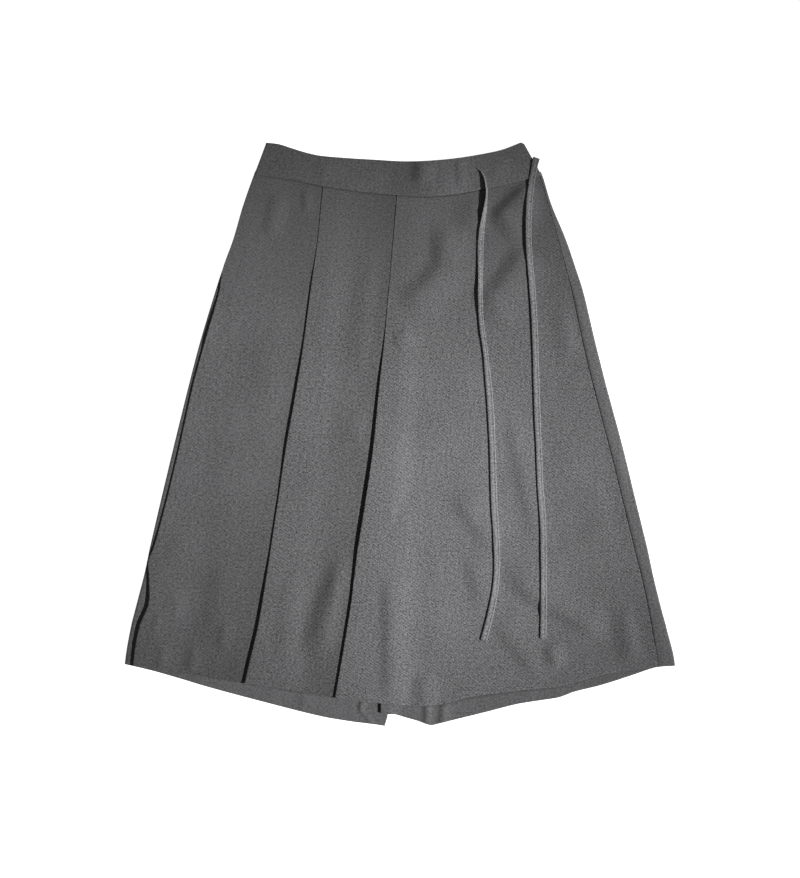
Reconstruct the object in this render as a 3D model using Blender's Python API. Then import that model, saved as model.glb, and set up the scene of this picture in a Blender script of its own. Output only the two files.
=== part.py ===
"""A skort laid out flat: a front overskirt of three gores with knife pleats, over a pair of wide short legs.

Metres, +Z up. The waist points to +Y, the wearer's left side to +X, and the back panels rest on Z = 0.
The origin is the middle of the outline on that surface. Tables hold millimetres, as a maker's draft would.
"""

import bisect
import math

import bpy
import numpy as np

MM = 0.001

# Cloth and how it is stacked
CLOTH = 1.0 * MM
SEAM_GAP = 0.3 * MM
WAIST_GAP = 0.5 * MM
PLY = CLOTH + SEAM_GAP
BAND_CLOTH = 2.0 * MM
BACK_LAYER = CLOTH / 2
LEG_FRONT_LAYER = BACK_LAYER + PLY
OVERSKIRT_LAYER = LEG_FRONT_LAYER + PLY
BAND_BACK_LAYER = BAND_CLOTH / 2
BAND_FRONT_LAYER = BAND_BACK_LAYER + BAND_CLOTH + SEAM_GAP

# Knife pleats
PLEAT_DEPTH_WAIST = 10.0 * MM
PLEAT_DEPTH_HEM = 38.0 * MM
PLEAT_FLARE = 1.6
SIDE_TURNING_WAIST = 9.0 * MM
SIDE_TURNING_HEM = 24.0 * MM
PLEAT_REST = 5.0 * MM
PLEAT_SLOPE = 30.0 * MM
FOLD_RADIUS = PLY / 2
SIDE_FOLD_RADIUS = PLY
FOLD_STEPS = 4
SIDE_FOLD_STEPS = 6
PLEAT_STEPS = 3

# The left leg's inner edge lies on the right leg
LEG_LIFT = 2 * PLY
LEG_FLAT = 9.0 * MM
LEG_SLOPE = 17.0 * MM
LEG_COVER_FLAT = 17.0 * MM
LEG_COVER_SLOPE = 34.0 * MM
LEG_RISE_FROM = -132.0 * MM
LEG_RISE_TO = -168.0 * MM
LEG_COVER_FROM = -50.0 * MM
LEG_COVER_TO = -130.0 * MM

# Soft fullness of the overskirt, and how much lower the hidden back hems end
PUFF = 2.0 * MM
PUFF_HEM = 0.35
PUFF_FULL_AT = 0.3
FOLD_FADE = 25.0 * MM
BACK_HEM_SHORTER = 1.5 * MM

# Waistband section, from its seam up: share of its height, and share of the full thickness there
BAND_PROFILE = ((0.0, 1.0), (0.3, 1.0), (0.65, 1.0), (0.96, 0.85), (1.0, 0.4))
BAND_HEAD_LIFT = 1.6 * MM
BAND_STEP = 13.0 * MM

# Ties: flat turned straps
TIE_WIDTH = 7.2 * MM
TIE_THICKNESS = 2.6 * MM
TIE_STEP = 15.5 * MM

# How a tie's height is found: over the band, then eased down to the gore
BAND_EASE = 20.0 * MM
GARMENT_LENGTH = 620.0 * MM

# Sections down the garment, and places across the open part of each gore and leg panel
SECTIONS = 24
NARROW_STEPS = 5
WIDE_STEPS = 12
LEG_STEPS = 8

# Turns of each search for the place where two lines meet
TRIES = 10

# Lines down the garment. Columns, all in mm: down = Y of the row; then the X there of the right edge of
# the legs, the overskirt's folded right edge, the two pleat edges, the centre seam and inner leg edges
# (of the right leg and of the left leg), the left side seam, and the left edge, where the back folds round.
LINE_COLUMNS = ("down", "edge_right", "fold_edge", "pleat_one", "pleat_two",
                "inner_right", "inner_left", "side_seam", "edge_left")
LINES = (
    (311, -175.2, -174.2, -91.2, -1.8, -1.2, -1.2, 167.4, 170.2),
    (275, -187.9, -186.7, -95.2, -4.8, -3.6, -3.6, 178.2, 181.4),
    (233, -200.1, -198.6, -99.6, -8.6, -6.4, -6.4, 190.2, 198.8),
    (172, -221.2, -217.8, -108.8, -14.2, -10.6, -10.6, 205.8, 219.2),
    (110, -239.8, -236.4, -117.1, -19.8, -14.6, -14.6, 219.0, 234.0),
    (60, -252.9, -250.2, -125.0, -25.8, -18.0, -18.0, 230.8, 246.6),
    (-18, -272.1, -267.6, -138.5, -33.6, -21.6, -21.6, 251.4, 267.5),
    (-83, -287.6, -283.2, -148.2, -42.6, -21.8, -21.8, 267.6, 283.2),
    (-137, -300.1, -296.4, -156.4, -50.8, -21.8, -21.8, 280.8, 296.4),
    (-169, -306.8, -303.4, -161.4, -54.8, -21.8, -21.8, 289.0, 303.2),
    (-203, -315.6, -303.0, -166.8, -59.6, -20.4, -22.4, 296.4, 311.4),
    (-232, -322.9, -314.4, -172.0, -64.2, -18.2, -22.8, 301.8, 319.2),
    (-276, -330.0, -321.2, -182.4, -71.6, -15.6, -23.5, 308.2, 329.4),
    (-336, -332.0, -323.0, -196.0, -82.0, -14.4, -24.0, 309.0, 330.0),
    (-350, -332.0, -323.0, -199.0, -84.0, -18.0, -24.0, 309.0, 330.0),
)

# Edges across the garment. Columns in mm: across = X, down = Y there.
BAND_TOP = ((-162, 349.2), (-145, 347.4), (-128, 342), (-112, 337.2), (-95, 333.6), (-61, 330.6),
            (-28, 328.8), (6, 327.6), (40, 328.8), (73, 332.4), (107, 338.4), (124, 342.6), (140, 348.6),
            (146, 350.4), (150, 348.8))
WAIST_SEAM = ((-176, 312.4), (-126, 304.8), (-84, 296.4), (-31, 289.7), (26, 285.6), (62, 288),
              (94, 293.4), (138, 303), (170, 311))
OVERSKIRT_HEM = ((-324, -277), (-294, -281), (-240, -289.5), (-210, -295.2), (-184, -299), (-132, -307.2),
                 (-77, -316), (-24, -322.6), (38, -325.5), (84, -315.6), (126, -309.6), (168, -305),
                 (192, -302.4), (250, -287), (294, -280.8), (310, -279))
RIGHT_LEG_HEM = ((-330, -276), (-296, -284), (-263, -293.4), (-229, -303.6), (-162, -321.6), (-95, -338.4),
                 (-61, -344.4), (-28, -348.6), (-17, -350.4))
LEFT_LEG_HEM = ((-25, -333.6), (-14, -336), (-6, -336), (6, -339.6), (23, -344.4), (37, -349.2), (46, -347.4),
                (73, -340.8), (107, -332.4), (140, -324), (174, -318), (208, -309.6), (241, -301.2),
                (275, -290.4), (308, -279.6), (328, -277.8))

# Largest soft folds of the overskirt, as ridges. Columns in mm: X and Y of one end, X and Y of the other,
# width, height.
FOLDS = (
    (152, 266, 98, 211, 36, 2.0),
    (134, 179, 84, 139, 38, 1.6),
    (46, 206, 4, 150, 36, 1.8),
    (84, -79, 120, -199, 44, 2.0),
    (190, -120, 232, -262, 48, 1.6),
    (2, -160, 10, -312, 44, 1.8),
    (-70, -151, -108, -270, 34, 1.8),
    (-206, -150, -224, -262, 36, 1.4),
)

# Ties. Columns: across, down in mm; rise = height of the strap's middle over its flat lie, in mm;
# turn = how far the strap stands on its edge, in degrees.
TIE_FRONT_ROUTE = (
    (87.6, 321.6, 2.3, 88), (92.4, 318.6, 2.5, 86), (98.5, 313.0, 2.9, 78), (102.8, 305.0, 3.2, 66),
    (104.6, 294.0, 3.4, 52), (104.4, 283.0, 3.3, 38), (102.6, 270.0, 2.6, 26), (99.8, 255.0, 1.4, 12),
    (97.6, 238.0, 0.4, 2), (96.8, 205.0, 0, 0), (97.2, 160.0, 0, 0), (99.4, 122.0, 0, 0),
    (104.4, 88.0, 0, 0), (108.4, 52.0, 0, 0), (111.0, 18.0, 0, 0), (113.2, -30.0, 0, 0),
    (114.4, -80.0, 0, 0), (116.0, -120.0, 0, 0), (117.2, -155.0, 0, 0), (115.6, -182.0, 0, 0),
    (110.6, -213.0, 0, 0), (103.6, -248.0, 0, 0),
)
TIE_SIDE_ROUTE = (
    (163.4, 332.4, 0, 0), (162.6, 328.4, 0.1, 0), (161.4, 322.0, 0.3, 0), (159.6, 310.0, 0.3, 0),
    (157.6, 296.0, 0.8, 0), (155.2, 275.0, 0.6, 0), (154.2, 250.0, 0.1, 0), (155.4, 226.0, 0, 0),
    (157.2, 206.0, 0, 0), (160.0, 168.0, 0, 0), (162.4, 122.0, 0, 0), (163.8, 80.0, 0, 0),
    (165.4, 30.0, 0, 0), (167.6, -20.0, 0, 0), (169.4, -64.0, 0, 0), (172.4, -105.0, 0, 0),
    (173.2, -150.0, 0, 0), (173.4, -200.0, 0, 0), (172.8, -245.0, 0, 0),
)
BAND_JOINT_AT = 85.2 * MM

CLOTH_COLOUR = (0.125, 0.125, 0.13)
TIE_COLOUR = (0.15, 0.15, 0.155)


class SmoothCurve:
    """A smooth curve through (place, value) rows, held level past either end."""

    def __init__(self, rows):
        rows = sorted(rows)
        self.places = [row[0] for row in rows]
        self.values = [row[1] for row in rows]
        last = len(rows) - 1
        self.slopes = [self.chord(max(i - 1, 0), min(i + 1, last)) for i in range(len(rows))]

    def chord(self, low, high):
        return (self.values[high] - self.values[low]) / (self.places[high] - self.places[low])

    def at(self, place):
        if place <= self.places[0]:
            return self.values[0]
        if place >= self.places[-1]:
            return self.values[-1]
        i = bisect.bisect_right(self.places, place) - 1
        width = self.places[i + 1] - self.places[i]
        slope = self.chord(i, i + 1)
        t = (place - self.places[i]) / width
        bend = (1 - t) * (self.slopes[i] - slope) - t * (self.slopes[i + 1] - slope)
        return self.values[i] + width * t * (slope + (1 - t) * bend)


LINE_CURVES = {
    name: SmoothCurve([(row[0], row[column]) for row in LINES])
    for column, name in enumerate(LINE_COLUMNS)
    if column > 0
}
WAIST_SEAM_CURVE = SmoothCurve(WAIST_SEAM)
BAND_TOP_CURVE = SmoothCurve(BAND_TOP)


def line_x(name, y):
    """X of a named line down the garment at height y, both in metres."""
    return MM * LINE_CURVES[name].at(y / MM)


def edge_y(curve, x):
    """Y of an edge across the garment at x, both in metres."""
    return MM * curve.at(x / MM)


def eased(t):
    """Goes from 1 to 0 as t goes from 0 to 1, level at both ends."""
    t = min(max(t, 0.0), 1.0)
    return 1 - t * t * (3 - 2 * t)


def between(low, high, share):
    return low + (high - low) * share


def evenly(first, last, steps):
    """Places from first to last, both included."""
    return [between(first, last, i / steps) for i in range(steps + 1)]


class Panel:
    """The flat cut of one piece: two lines down its sides, and two edges across it."""

    def __init__(self, left, right, hem, shorter=0.0):
        hem_curve = SmoothCurve(hem)
        self.left = left
        self.right = right
        self.top = lambda x: edge_y(WAIST_SEAM_CURVE, x) - WAIST_GAP
        self.hem = lambda x: edge_y(hem_curve, x) + shorter
        self.corners = [self.meet(line, edge) for line in (left, right) for edge in (self.top, self.hem)]

    def meet(self, line, edge):
        """Y where a side line meets an edge."""
        y = edge(line(0.0))
        for _ in range(TRIES):
            y = edge(line(y))
        return y

    def sides(self, share):
        """X and Y of the left line, then of the right one, at `share` of the way down."""
        top_left, hem_left, top_right, hem_right = self.corners
        y_left = between(top_left, hem_left, share)
        y_right = between(top_right, hem_right, share)
        return self.left(y_left), y_left, self.right(y_right), y_right

    def width(self, share):
        x_left, _, x_right, _ = self.sides(share)
        return x_right - x_left

    def point(self, offset, share):
        """X and Y at `share` of the way down, `offset` in from the left line. It may pass the right one."""
        top_left, hem_left, top_right, hem_right = self.corners
        x_left, y_left, x_right, y_right = self.sides(share)
        x = x_left + offset
        across = offset / (x_right - x_left)
        x_top = between(self.left(top_left), self.right(top_right), across)
        x_hem = between(self.left(hem_left), self.right(hem_right), across)
        y = between(y_left, y_right, across)
        y += (1 - share) * (self.top(x_top) - between(top_left, top_right, across))
        y += share * (self.hem(x_hem) - between(hem_left, hem_right, across))
        return x, y


def leg_lift(x, y):
    """How far the left leg's inner edge is lifted by the right leg under it."""
    out = (x - line_x("inner_left", y) - LEG_FLAT) / LEG_SLOPE
    down = (y - LEG_RISE_TO) / (LEG_RISE_FROM - LEG_RISE_TO)
    return LEG_LIFT * eased(out) * eased(down)


def leg_cover(x, y):
    """How far the overskirt is lifted where it lies on that inner edge."""
    out = (x - line_x("inner_left", y) - LEG_COVER_FLAT) / LEG_COVER_SLOPE
    down = (y - LEG_COVER_TO) / (LEG_COVER_FROM - LEG_COVER_TO)
    return LEG_LIFT * eased(out) * eased(down)


def pleat_depth(share):
    return between(PLEAT_DEPTH_WAIST, PLEAT_DEPTH_HEM, share**PLEAT_FLARE)


def turning_depth(share):
    return between(SIDE_TURNING_WAIST, SIDE_TURNING_HEM, share)


def puff(across, share):
    """Soft fullness between a gore's two sides: none at the waist, most a third of the way down."""
    fallen = max(share - PUFF_FULL_AT, 0.0) / (1 - PUFF_FULL_AT)
    down = (1 - eased(share / PUFF_FULL_AT)) * between(1.0, PUFF_HEM, fallen)
    return PUFF * math.sin(math.pi * across) ** 2 * down


def fold_height(x, y):
    """Height of the highest soft fold at a place."""
    highest = 0.0
    for x_one, y_one, x_two, y_two, width, height in FOLDS:
        run = np.array((x_two - x_one, y_two - y_one)) * MM
        from_one = np.array((x - x_one * MM, y - y_one * MM))
        along = min(max(float(from_one @ run) / float(run @ run), 0.0), 1.0)
        away = float(np.linalg.norm(from_one - along * run))
        highest = max(highest, height * MM * eased(2 * away / (width * MM)))
    return highest


class Gore:
    """One overskirt gore: its top ply, its folded edge at the left, and the return ply under that edge."""

    def __init__(self, panel, depth, folds_under, extends, steps, over_leg=False):
        self.panel = panel
        self.depth = depth
        self.folds_under = folds_under
        self.extends = extends
        self.steps = steps
        self.over_leg = over_leg

    def lift(self, offset, share):
        """Height of the top ply's middle, `offset` in from the folded edge."""
        x, y = self.panel.point(offset, share)
        depth = self.depth(share)
        raised = self.folds_under * PLY * eased((offset - depth - PLEAT_REST) / PLEAT_SLOPE)
        if self.over_leg:
            raised = max(raised, leg_cover(x, y))
        inwards = offset - depth - PLEAT_REST
        outwards = self.panel.width(share) - offset
        if min(inwards, outwards) <= 0.0:
            return OVERSKIRT_LAYER + raised
        fade = 1 - eased(min(inwards, outwards) / FOLD_FADE)
        fullness = puff(inwards / (inwards + outwards), share)
        return OVERSKIRT_LAYER + raised + max(fullness, fade * fold_height(x, y))

    def section(self, share):
        """The wall's middle at one height, from the far end of the top ply round to the return's end."""
        width = self.panel.width(share)
        depth = self.depth(share)
        raised_to = depth + PLEAT_REST
        open_from = raised_to + PLEAT_SLOPE
        offsets = [width + self.extends(share)] if self.extends else []
        offsets += evenly(width, open_from, self.steps)
        offsets += evenly(open_from, raised_to, PLEAT_STEPS)[1:]
        offsets += evenly(raised_to, FOLD_RADIUS, PLEAT_STEPS)[1:]
        places = []
        for offset in offsets:
            x, y = self.panel.point(offset, share)
            places.append((x, y, self.lift(offset, share), 0.0, 1.0))
        top = places[-1][2]
        for i in range(1, FOLD_STEPS):
            angle = math.pi / 2 + math.pi * i / FOLD_STEPS
            x, y = self.panel.point(FOLD_RADIUS * (1 + math.cos(angle)), share)
            z = top - FOLD_RADIUS * (1 - math.sin(angle))
            places.append((x, y, z, math.cos(angle), math.sin(angle)))
        for offset in evenly(FOLD_RADIUS, depth, PLEAT_STEPS):
            x, y = self.panel.point(offset, share)
            places.append((x, y, top - 2 * FOLD_RADIUS, 0.0, -1.0))
        return places


def right_leg_section(panel, layer, share):
    """The wall of one of the right leg's panels at one height, from its inner edge outwards."""
    places = []
    for offset in evenly(panel.width(share), 0.0, LEG_STEPS):
        x, y = panel.point(offset, share)
        places.append((x, y, layer, 0.0, 1.0))
    return places


def left_leg_offsets(width):
    """Places across a left leg panel, from its outer edge in, close together over its lifted inner edge."""
    lifted_to = LEG_FLAT + LEG_SLOPE
    outer = evenly(width, lifted_to, LEG_STEPS)
    return outer + evenly(lifted_to, LEG_FLAT, PLEAT_STEPS)[1:] + [0.0]


def left_front_section(panel, share):
    """The left leg's front wall: it ends at the side seam."""
    places = []
    for offset in left_leg_offsets(panel.width(share)):
        x, y = panel.point(offset, share)
        places.append((x, y, LEG_FRONT_LAYER + leg_lift(x, y), 0.0, 1.0))
    return places


def left_back_section(panel, share):
    """The left leg's back wall: it folds round the outer edge and comes forward to the side seam."""
    bend = panel.width(share) - SIDE_FOLD_RADIUS
    forward = 0.0
    for _ in range(TRIES):
        x, y = panel.point(bend - forward, share)
        forward += x - line_x("side_seam", y) - SEAM_GAP
    places = []
    for offset in evenly(bend - forward, bend, 2):
        x, y = panel.point(offset, share)
        places.append((x, y, OVERSKIRT_LAYER, 0.0, 1.0))
    for i in range(1, SIDE_FOLD_STEPS):
        angle = math.pi / 2 - math.pi * i / SIDE_FOLD_STEPS
        x, y = panel.point(bend + SIDE_FOLD_RADIUS * math.cos(angle), share)
        z = BACK_LAYER + SIDE_FOLD_RADIUS * (1 + math.sin(angle))
        places.append((x, y, z, math.cos(angle), math.sin(angle)))
    for offset in left_leg_offsets(bend):
        x, y = panel.point(offset, share)
        places.append((x, y, BACK_LAYER + leg_lift(x, y), 0.0, -1.0))
    return places


def build_wall(name, sections, thickness, colour):
    """A closed wall through sections. Each place is x, y, z, and the X and Z of the wall's outward side."""
    half = thickness / 2
    rings = []
    for places in sections:
        outer = [(x + half * nx, y, z + half * nz) for x, y, z, nx, nz in places]
        inner = [(x - half * nx, y, z - half * nz) for x, y, z, nx, nz in places]
        rings.append(outer + inner[::-1])
    lofted_object(name, rings, colour)


def lofted_object(name, rings, colour):
    """A closed mesh object through rings. A ring runs along one face of a wall and back along the other."""
    around = len(rings[0])
    faces = []
    for row in range(len(rings) - 1):
        low = row * around
        high = low + around
        for i in range(around):
            j = (i + 1) % around
            faces.append((low + i, low + j, high + j, high + i))
    last = (len(rings) - 1) * around
    for i in range(around // 2 - 1):
        across = (i, around - 1 - i, around - 2 - i, i + 1)
        faces.append(across)
        faces.append(tuple(last + k for k in across[::-1]))
    mesh = bpy.data.meshes.new(name)
    mesh.from_pydata([point for ring in rings for point in ring], [], faces)
    mesh.validate()
    corners = np.array([mesh.vertices[i].co for face in mesh.polygons for i in triangles_of(face)])
    if np.linalg.det(corners.reshape(-1, 3, 3)).sum() < 0:
        mesh.flip_normals()
    mesh.shade_smooth()
    mesh.set_sharp_from_angle(angle=math.radians(40))
    mesh.materials.append(cloth_material(name, colour))
    bpy.context.scene.collection.objects.link(bpy.data.objects.new(name, mesh))


def triangles_of(face):
    """Vertex numbers of a fan of triangles over one face."""
    around = list(face.vertices)
    return [k for i in range(1, len(around) - 1) for k in (around[0], around[i], around[i + 1])]


def cloth_material(name, colour):
    material = bpy.data.materials.new(name)
    material.use_nodes = True
    shader = material.node_tree.nodes["Principled BSDF"]
    shader.inputs["Base Color"].default_value = (*colour, 1.0)
    shader.inputs["Roughness"].default_value = 0.9
    shader.inputs["Metallic"].default_value = 0.0
    return material


def head_lift(x):
    """How far the band rises over the heads of the pleats under its seam."""
    raised = 0.0
    for name in ("pleat_one", "pleat_two"):
        head = line_x(name, LINES[0][0] * MM)
        inwards = (x - head - PLEAT_DEPTH_WAIST - PLEAT_REST) / PLEAT_SLOPE
        outwards = (head - x) / PLEAT_REST
        raised = max(raised, BAND_HEAD_LIFT * eased(inwards) * eased(outwards))
    return raised


def build_band(name, start, end, layer, rests):
    """A stretch of waistband. Its start and end are each an X on the seam and an X on the top edge."""
    steps = math.ceil((end[0] - start[0]) / BAND_STEP)
    rings = []
    for i in range(steps + 1):
        x_seam = between(start[0], end[0], i / steps)
        x_top = between(start[1], end[1], i / steps)
        y_seam = edge_y(WAIST_SEAM_CURVE, x_seam)
        y_top = edge_y(BAND_TOP_CURVE, x_top)
        outer = []
        inner = []
        for up, fullness in BAND_PROFILE:
            x = between(x_seam, x_top, up)
            y = between(y_seam, y_top, up)
            z = layer + (0.0 if rests else head_lift(x_seam) * eased(up))
            half = BAND_CLOTH / 2
            outer.append((x, y, z + half * fullness))
            inner.append((x, y, z - half * (1.0 if rests else fullness)))
        rings.append(outer + inner[::-1])
    lofted_object(name, rings, CLOTH_COLOUR)


def build_waistband():
    """The band's back, and its front in two stretches that meet at the upright joint by the front tie."""
    right_end = (line_x("edge_right", WAIST_SEAM[0][1] * MM), BAND_TOP[0][0] * MM)
    left_end = (line_x("edge_left", WAIST_SEAM[-1][1] * MM), BAND_TOP[-1][0] * MM)
    joint_right = (BAND_JOINT_AT - SEAM_GAP / 2, BAND_JOINT_AT - SEAM_GAP / 2)
    joint_left = (BAND_JOINT_AT + SEAM_GAP / 2, BAND_JOINT_AT + SEAM_GAP / 2)
    build_band("waistband_back", right_end, left_end, BAND_BACK_LAYER, rests=True)
    build_band("waistband_front_right", right_end, joint_right, BAND_FRONT_LAYER, rests=False)
    build_band("waistband_front_left", joint_left, left_end, BAND_FRONT_LAYER, rests=False)


def line(name, shift=0.0):
    """A side line of a panel, moved by a seam's clearance."""
    return lambda y: line_x(name, y) + shift


def down_the_garment(section):
    """A section at each height, from the waist to the hem."""
    return [section(share) for share in evenly(0.0, 1.0, SECTIONS)]


def build_overskirt():
    """Three gores, each lying on the extension of the gore to its right. Gives back the left gore."""
    right = Panel(line("fold_edge"), line("pleat_one"), OVERSKIRT_HEM)
    middle = Panel(line("pleat_one"), line("pleat_two"), OVERSKIRT_HEM)
    left = Panel(line("pleat_two"), line("side_seam", -SEAM_GAP / 2), OVERSKIRT_HEM)
    gores = {
        "overskirt_right_gore": Gore(right, turning_depth, 1, pleat_depth, NARROW_STEPS),
        "overskirt_middle_gore": Gore(middle, pleat_depth, 2, pleat_depth, NARROW_STEPS),
        "overskirt_left_gore": Gore(left, pleat_depth, 2, None, WIDE_STEPS, over_leg=True),
    }
    for name, gore in gores.items():
        build_wall(name, down_the_garment(gore.section), CLOTH, CLOTH_COLOUR)
    return gores["overskirt_left_gore"]


def build_legs():
    """Front and back of the two short legs. The back hems end a little higher, out of sight."""
    inner = line("inner_left", SEAM_GAP / 2)
    for side, layer, shorter in (("front", LEG_FRONT_LAYER, 0.0), ("back", BACK_LAYER, BACK_HEM_SHORTER)):
        right = Panel(line("edge_right"), line("inner_right", -SEAM_GAP / 2), RIGHT_LEG_HEM, shorter)
        sections = down_the_garment(lambda share: right_leg_section(right, layer, share))
        build_wall(f"shorts_{side}_right", sections, CLOTH, CLOTH_COLOUR)
    front = Panel(inner, line("side_seam", -SEAM_GAP / 2), LEFT_LEG_HEM)
    back = Panel(inner, line("edge_left"), LEFT_LEG_HEM, BACK_HEM_SHORTER)
    front_sections = down_the_garment(lambda share: left_front_section(front, share))
    back_sections = down_the_garment(lambda share: left_back_section(back, share))
    build_wall("shorts_front_left", front_sections, CLOTH, CLOTH_COLOUR)
    build_wall("shorts_back_left", back_sections, CLOTH, CLOTH_COLOUR)


def top_of(gore, x, y):
    """Height of the outer face at a place under a tie: the band's, or the left gore's."""
    share = 0.0
    for _ in range(TRIES):
        offset = x - gore.panel.sides(share)[0]
        miss = gore.panel.point(offset, share)[1] - y
        share = min(max(share + miss / GARMENT_LENGTH, 0.0), 1.0)
    cloth_top = gore.lift(min(offset, gore.panel.width(share)), share) + CLOTH / 2
    band_top = max(BAND_FRONT_LAYER + BAND_CLOTH / 2, cloth_top)
    below_seam = edge_y(WAIST_SEAM_CURVE, x) - y
    return between(cloth_top, band_top, eased(below_seam / BAND_EASE))


def highest_under(gore, x, y):
    """The highest outer face under the strap's width and a little way along it."""
    sides = (-TIE_WIDTH / 2, 0.0, TIE_WIDTH / 2)
    ends = (-TIE_STEP / 2, 0.0, TIE_STEP / 2)
    return max(top_of(gore, x + side, y + end) for side in sides for end in ends)


def smooth_route(route, step):
    """Points about `step` apart on a smooth curve through the route's own points."""
    along = [0.0]
    for here, after in zip(route, route[1:]):
        along.append(along[-1] + MM * math.hypot(after[0] - here[0], after[1] - here[1]))
    curves = [SmoothCurve(list(zip(along, column))) for column in zip(*route)]
    places = evenly(0.0, along[-1], round(along[-1] / step))
    return [[curve.at(place) for curve in curves] for place in places]


def build_tie(name, route, gore):
    """A strap on the garment's face, as a flat curve with round edges."""
    curve = bpy.data.curves.new(name, "CURVE")
    curve.dimensions = "3D"
    curve.twist_mode = "Z_UP"
    curve.bevel_depth = TIE_THICKNESS / 2
    curve.bevel_resolution = 2
    curve.extrude = (TIE_WIDTH - TIE_THICKNESS) / 2
    curve.use_fill_caps = True
    curve.fill_mode = "FULL"
    rows = smooth_route(route, TIE_STEP)
    spline = curve.splines.new("POLY")
    spline.points.add(len(rows) - 1)
    for point, (across, down, rise, turn) in zip(spline.points, rows):
        x = across * MM
        y = down * MM
        lie = highest_under(gore, x, y) + SEAM_GAP + TIE_THICKNESS / 2
        point.co = (x, y, lie + rise * MM, 1.0)
        point.tilt = math.radians(90 - turn)
    curve.materials.append(cloth_material(name, TIE_COLOUR))
    tie = bpy.data.objects.new(name, curve)
    bpy.context.scene.collection.objects.link(tie)


def main():
    for thing in list(bpy.data.objects):
        bpy.data.objects.remove(thing, do_unlink=True)
    build_legs()
    left_gore = build_overskirt()
    build_waistband()
    build_tie("tie_front", TIE_FRONT_ROUTE, left_gore)
    build_tie("tie_side", TIE_SIDE_ROUTE, left_gore)


main()
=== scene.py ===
"""The looks of a skort laid out flat: twill shells, pressed pleats, creases, hems, ties and stitches.

Metres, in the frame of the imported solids: +Y towards the waist, +X towards the wearer's left, +Z up.
Tables hold millimetres. Each cloth piece is one closed shell on the form of its solid.
"""

import logging
import math
from dataclasses import dataclass, field
from enum import Enum
from typing import Callable

import bpy
import numpy as np
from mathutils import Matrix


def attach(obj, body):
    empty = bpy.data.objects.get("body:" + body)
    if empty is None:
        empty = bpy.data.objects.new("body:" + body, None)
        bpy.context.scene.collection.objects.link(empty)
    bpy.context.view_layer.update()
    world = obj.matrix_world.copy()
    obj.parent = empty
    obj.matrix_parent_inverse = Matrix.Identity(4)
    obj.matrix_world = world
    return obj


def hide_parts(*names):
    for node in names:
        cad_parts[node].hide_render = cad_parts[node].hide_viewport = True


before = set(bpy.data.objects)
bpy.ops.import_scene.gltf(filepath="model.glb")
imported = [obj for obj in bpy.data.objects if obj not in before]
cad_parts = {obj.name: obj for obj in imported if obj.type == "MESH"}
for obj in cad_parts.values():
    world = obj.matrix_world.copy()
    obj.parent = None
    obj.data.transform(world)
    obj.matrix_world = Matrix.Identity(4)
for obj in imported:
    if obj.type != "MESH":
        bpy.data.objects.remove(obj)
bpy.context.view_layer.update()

LOG = logging.getLogger("skort")

Array = np.ndarray
Line = Callable[[Array], Array]

MM = 0.001
BODY = "root"
# Name of the point attribute that carries painted shade: how much the cloth's colour is darkened in seam and
# hem hollows
PAINTED_SHADE = "painted_shade"

# The photographed frame, how much of the table a pixel of it covers, and the camera over its middle
IMAGE_WIDTH = 800
PIXEL = 1.2 * MM
VIEW_DISTANCE = 3.0
VIEW_CENTRE_Y = -6.0 * MM
SENSOR_WIDTH = 36.0

# Cloth and how it is stacked. SEAM_GAP lies between sewn pieces, and SEAM_SHOWN is what is left of it at
# the left side seam, on top. Each layer is the height of its wall's middle.
CLOTH = 0.9 * MM
SEAM_GAP = 0.3 * MM
SEAM_SHOWN = 0.1 * MM
PLY = 1.3 * MM
BAND_CLOTH = 2.0 * MM
BAND_FRONT_CLOTH = 1.5 * MM
BACK_LAYER = 0.5 * MM
LEG_FRONT_LAYER = BACK_LAYER + PLY
OVERSKIRT_LAYER = LEG_FRONT_LAYER + PLY
BAND_BACK_LAYER = BAND_CLOTH / 2
BAND_FRONT_LAYER = 3.85 * MM

# Knife pleats
PLEAT_DEPTH_WAIST = 10.0 * MM
PLEAT_DEPTH_HEM = 38.0 * MM
PLEAT_FLARE = 1.6
SIDE_TURNING_WAIST = 9.0 * MM
SIDE_TURNING_HEM = 24.0 * MM
PLEAT_REST = 5.0 * MM
PLEAT_SLOPE = 30.0 * MM
FOLD_RADIUS = PLY / 2
SIDE_FOLD_RADIUS = PLY

# The left leg's inner edge lies on the right leg
LEG_LIFT = 1.7 * PLY
LEG_FLAT = 9.0 * MM
LEG_SLOPE = 17.0 * MM
LEG_COVER_FLAT = 17.0 * MM
LEG_COVER_SLOPE = 34.0 * MM
LEG_RISE_FROM = -132.0 * MM
LEG_RISE_TO = -168.0 * MM
LEG_COVER_FROM = -50.0 * MM
LEG_COVER_TO = -130.0 * MM

# Soft fullness of the overskirt, full at one share of the way down and less at the hem, and how far in from
# a folded or free edge the creases fade
PUFF_HEM = 0.35
PUFF_FULL_AT = 0.3
FOLD_FADE = 25.0 * MM
EDGE_FADE = 5.0 * MM

# The side seam is pressed flat near the waist, and opens a little further down
SEAM_FLAT_TO = 0.16
SEAM_OPEN_FROM = 0.28

# Shares of the way down over which the creases, and the raised edges, come in below the waist seam
WAIST_FADE = 0.03
EDGE_RISE_FADE = 0.1

# Ties
TIE_WIDTH = 7.2 * MM
TIE_THICKNESS = 1.7 * MM

# Half the width of a crease's crest, in mm, where its two flanks meet
CREST = 4.0

# Turns of each search for the place where two lines meet
TRIES = 10

# A distance far inside a piece, where its rim no longer matters, and the least width that is divided by
FAR_INSIDE = 1.0
TINY = 1e-6

# Shares of a wall's thickness that are left at a hem's fold, at a rim, and at the end of a strap
LEAST_HEM = 0.09
LEAST_RIM = 0.12
LEAST_END = 0.35

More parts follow.
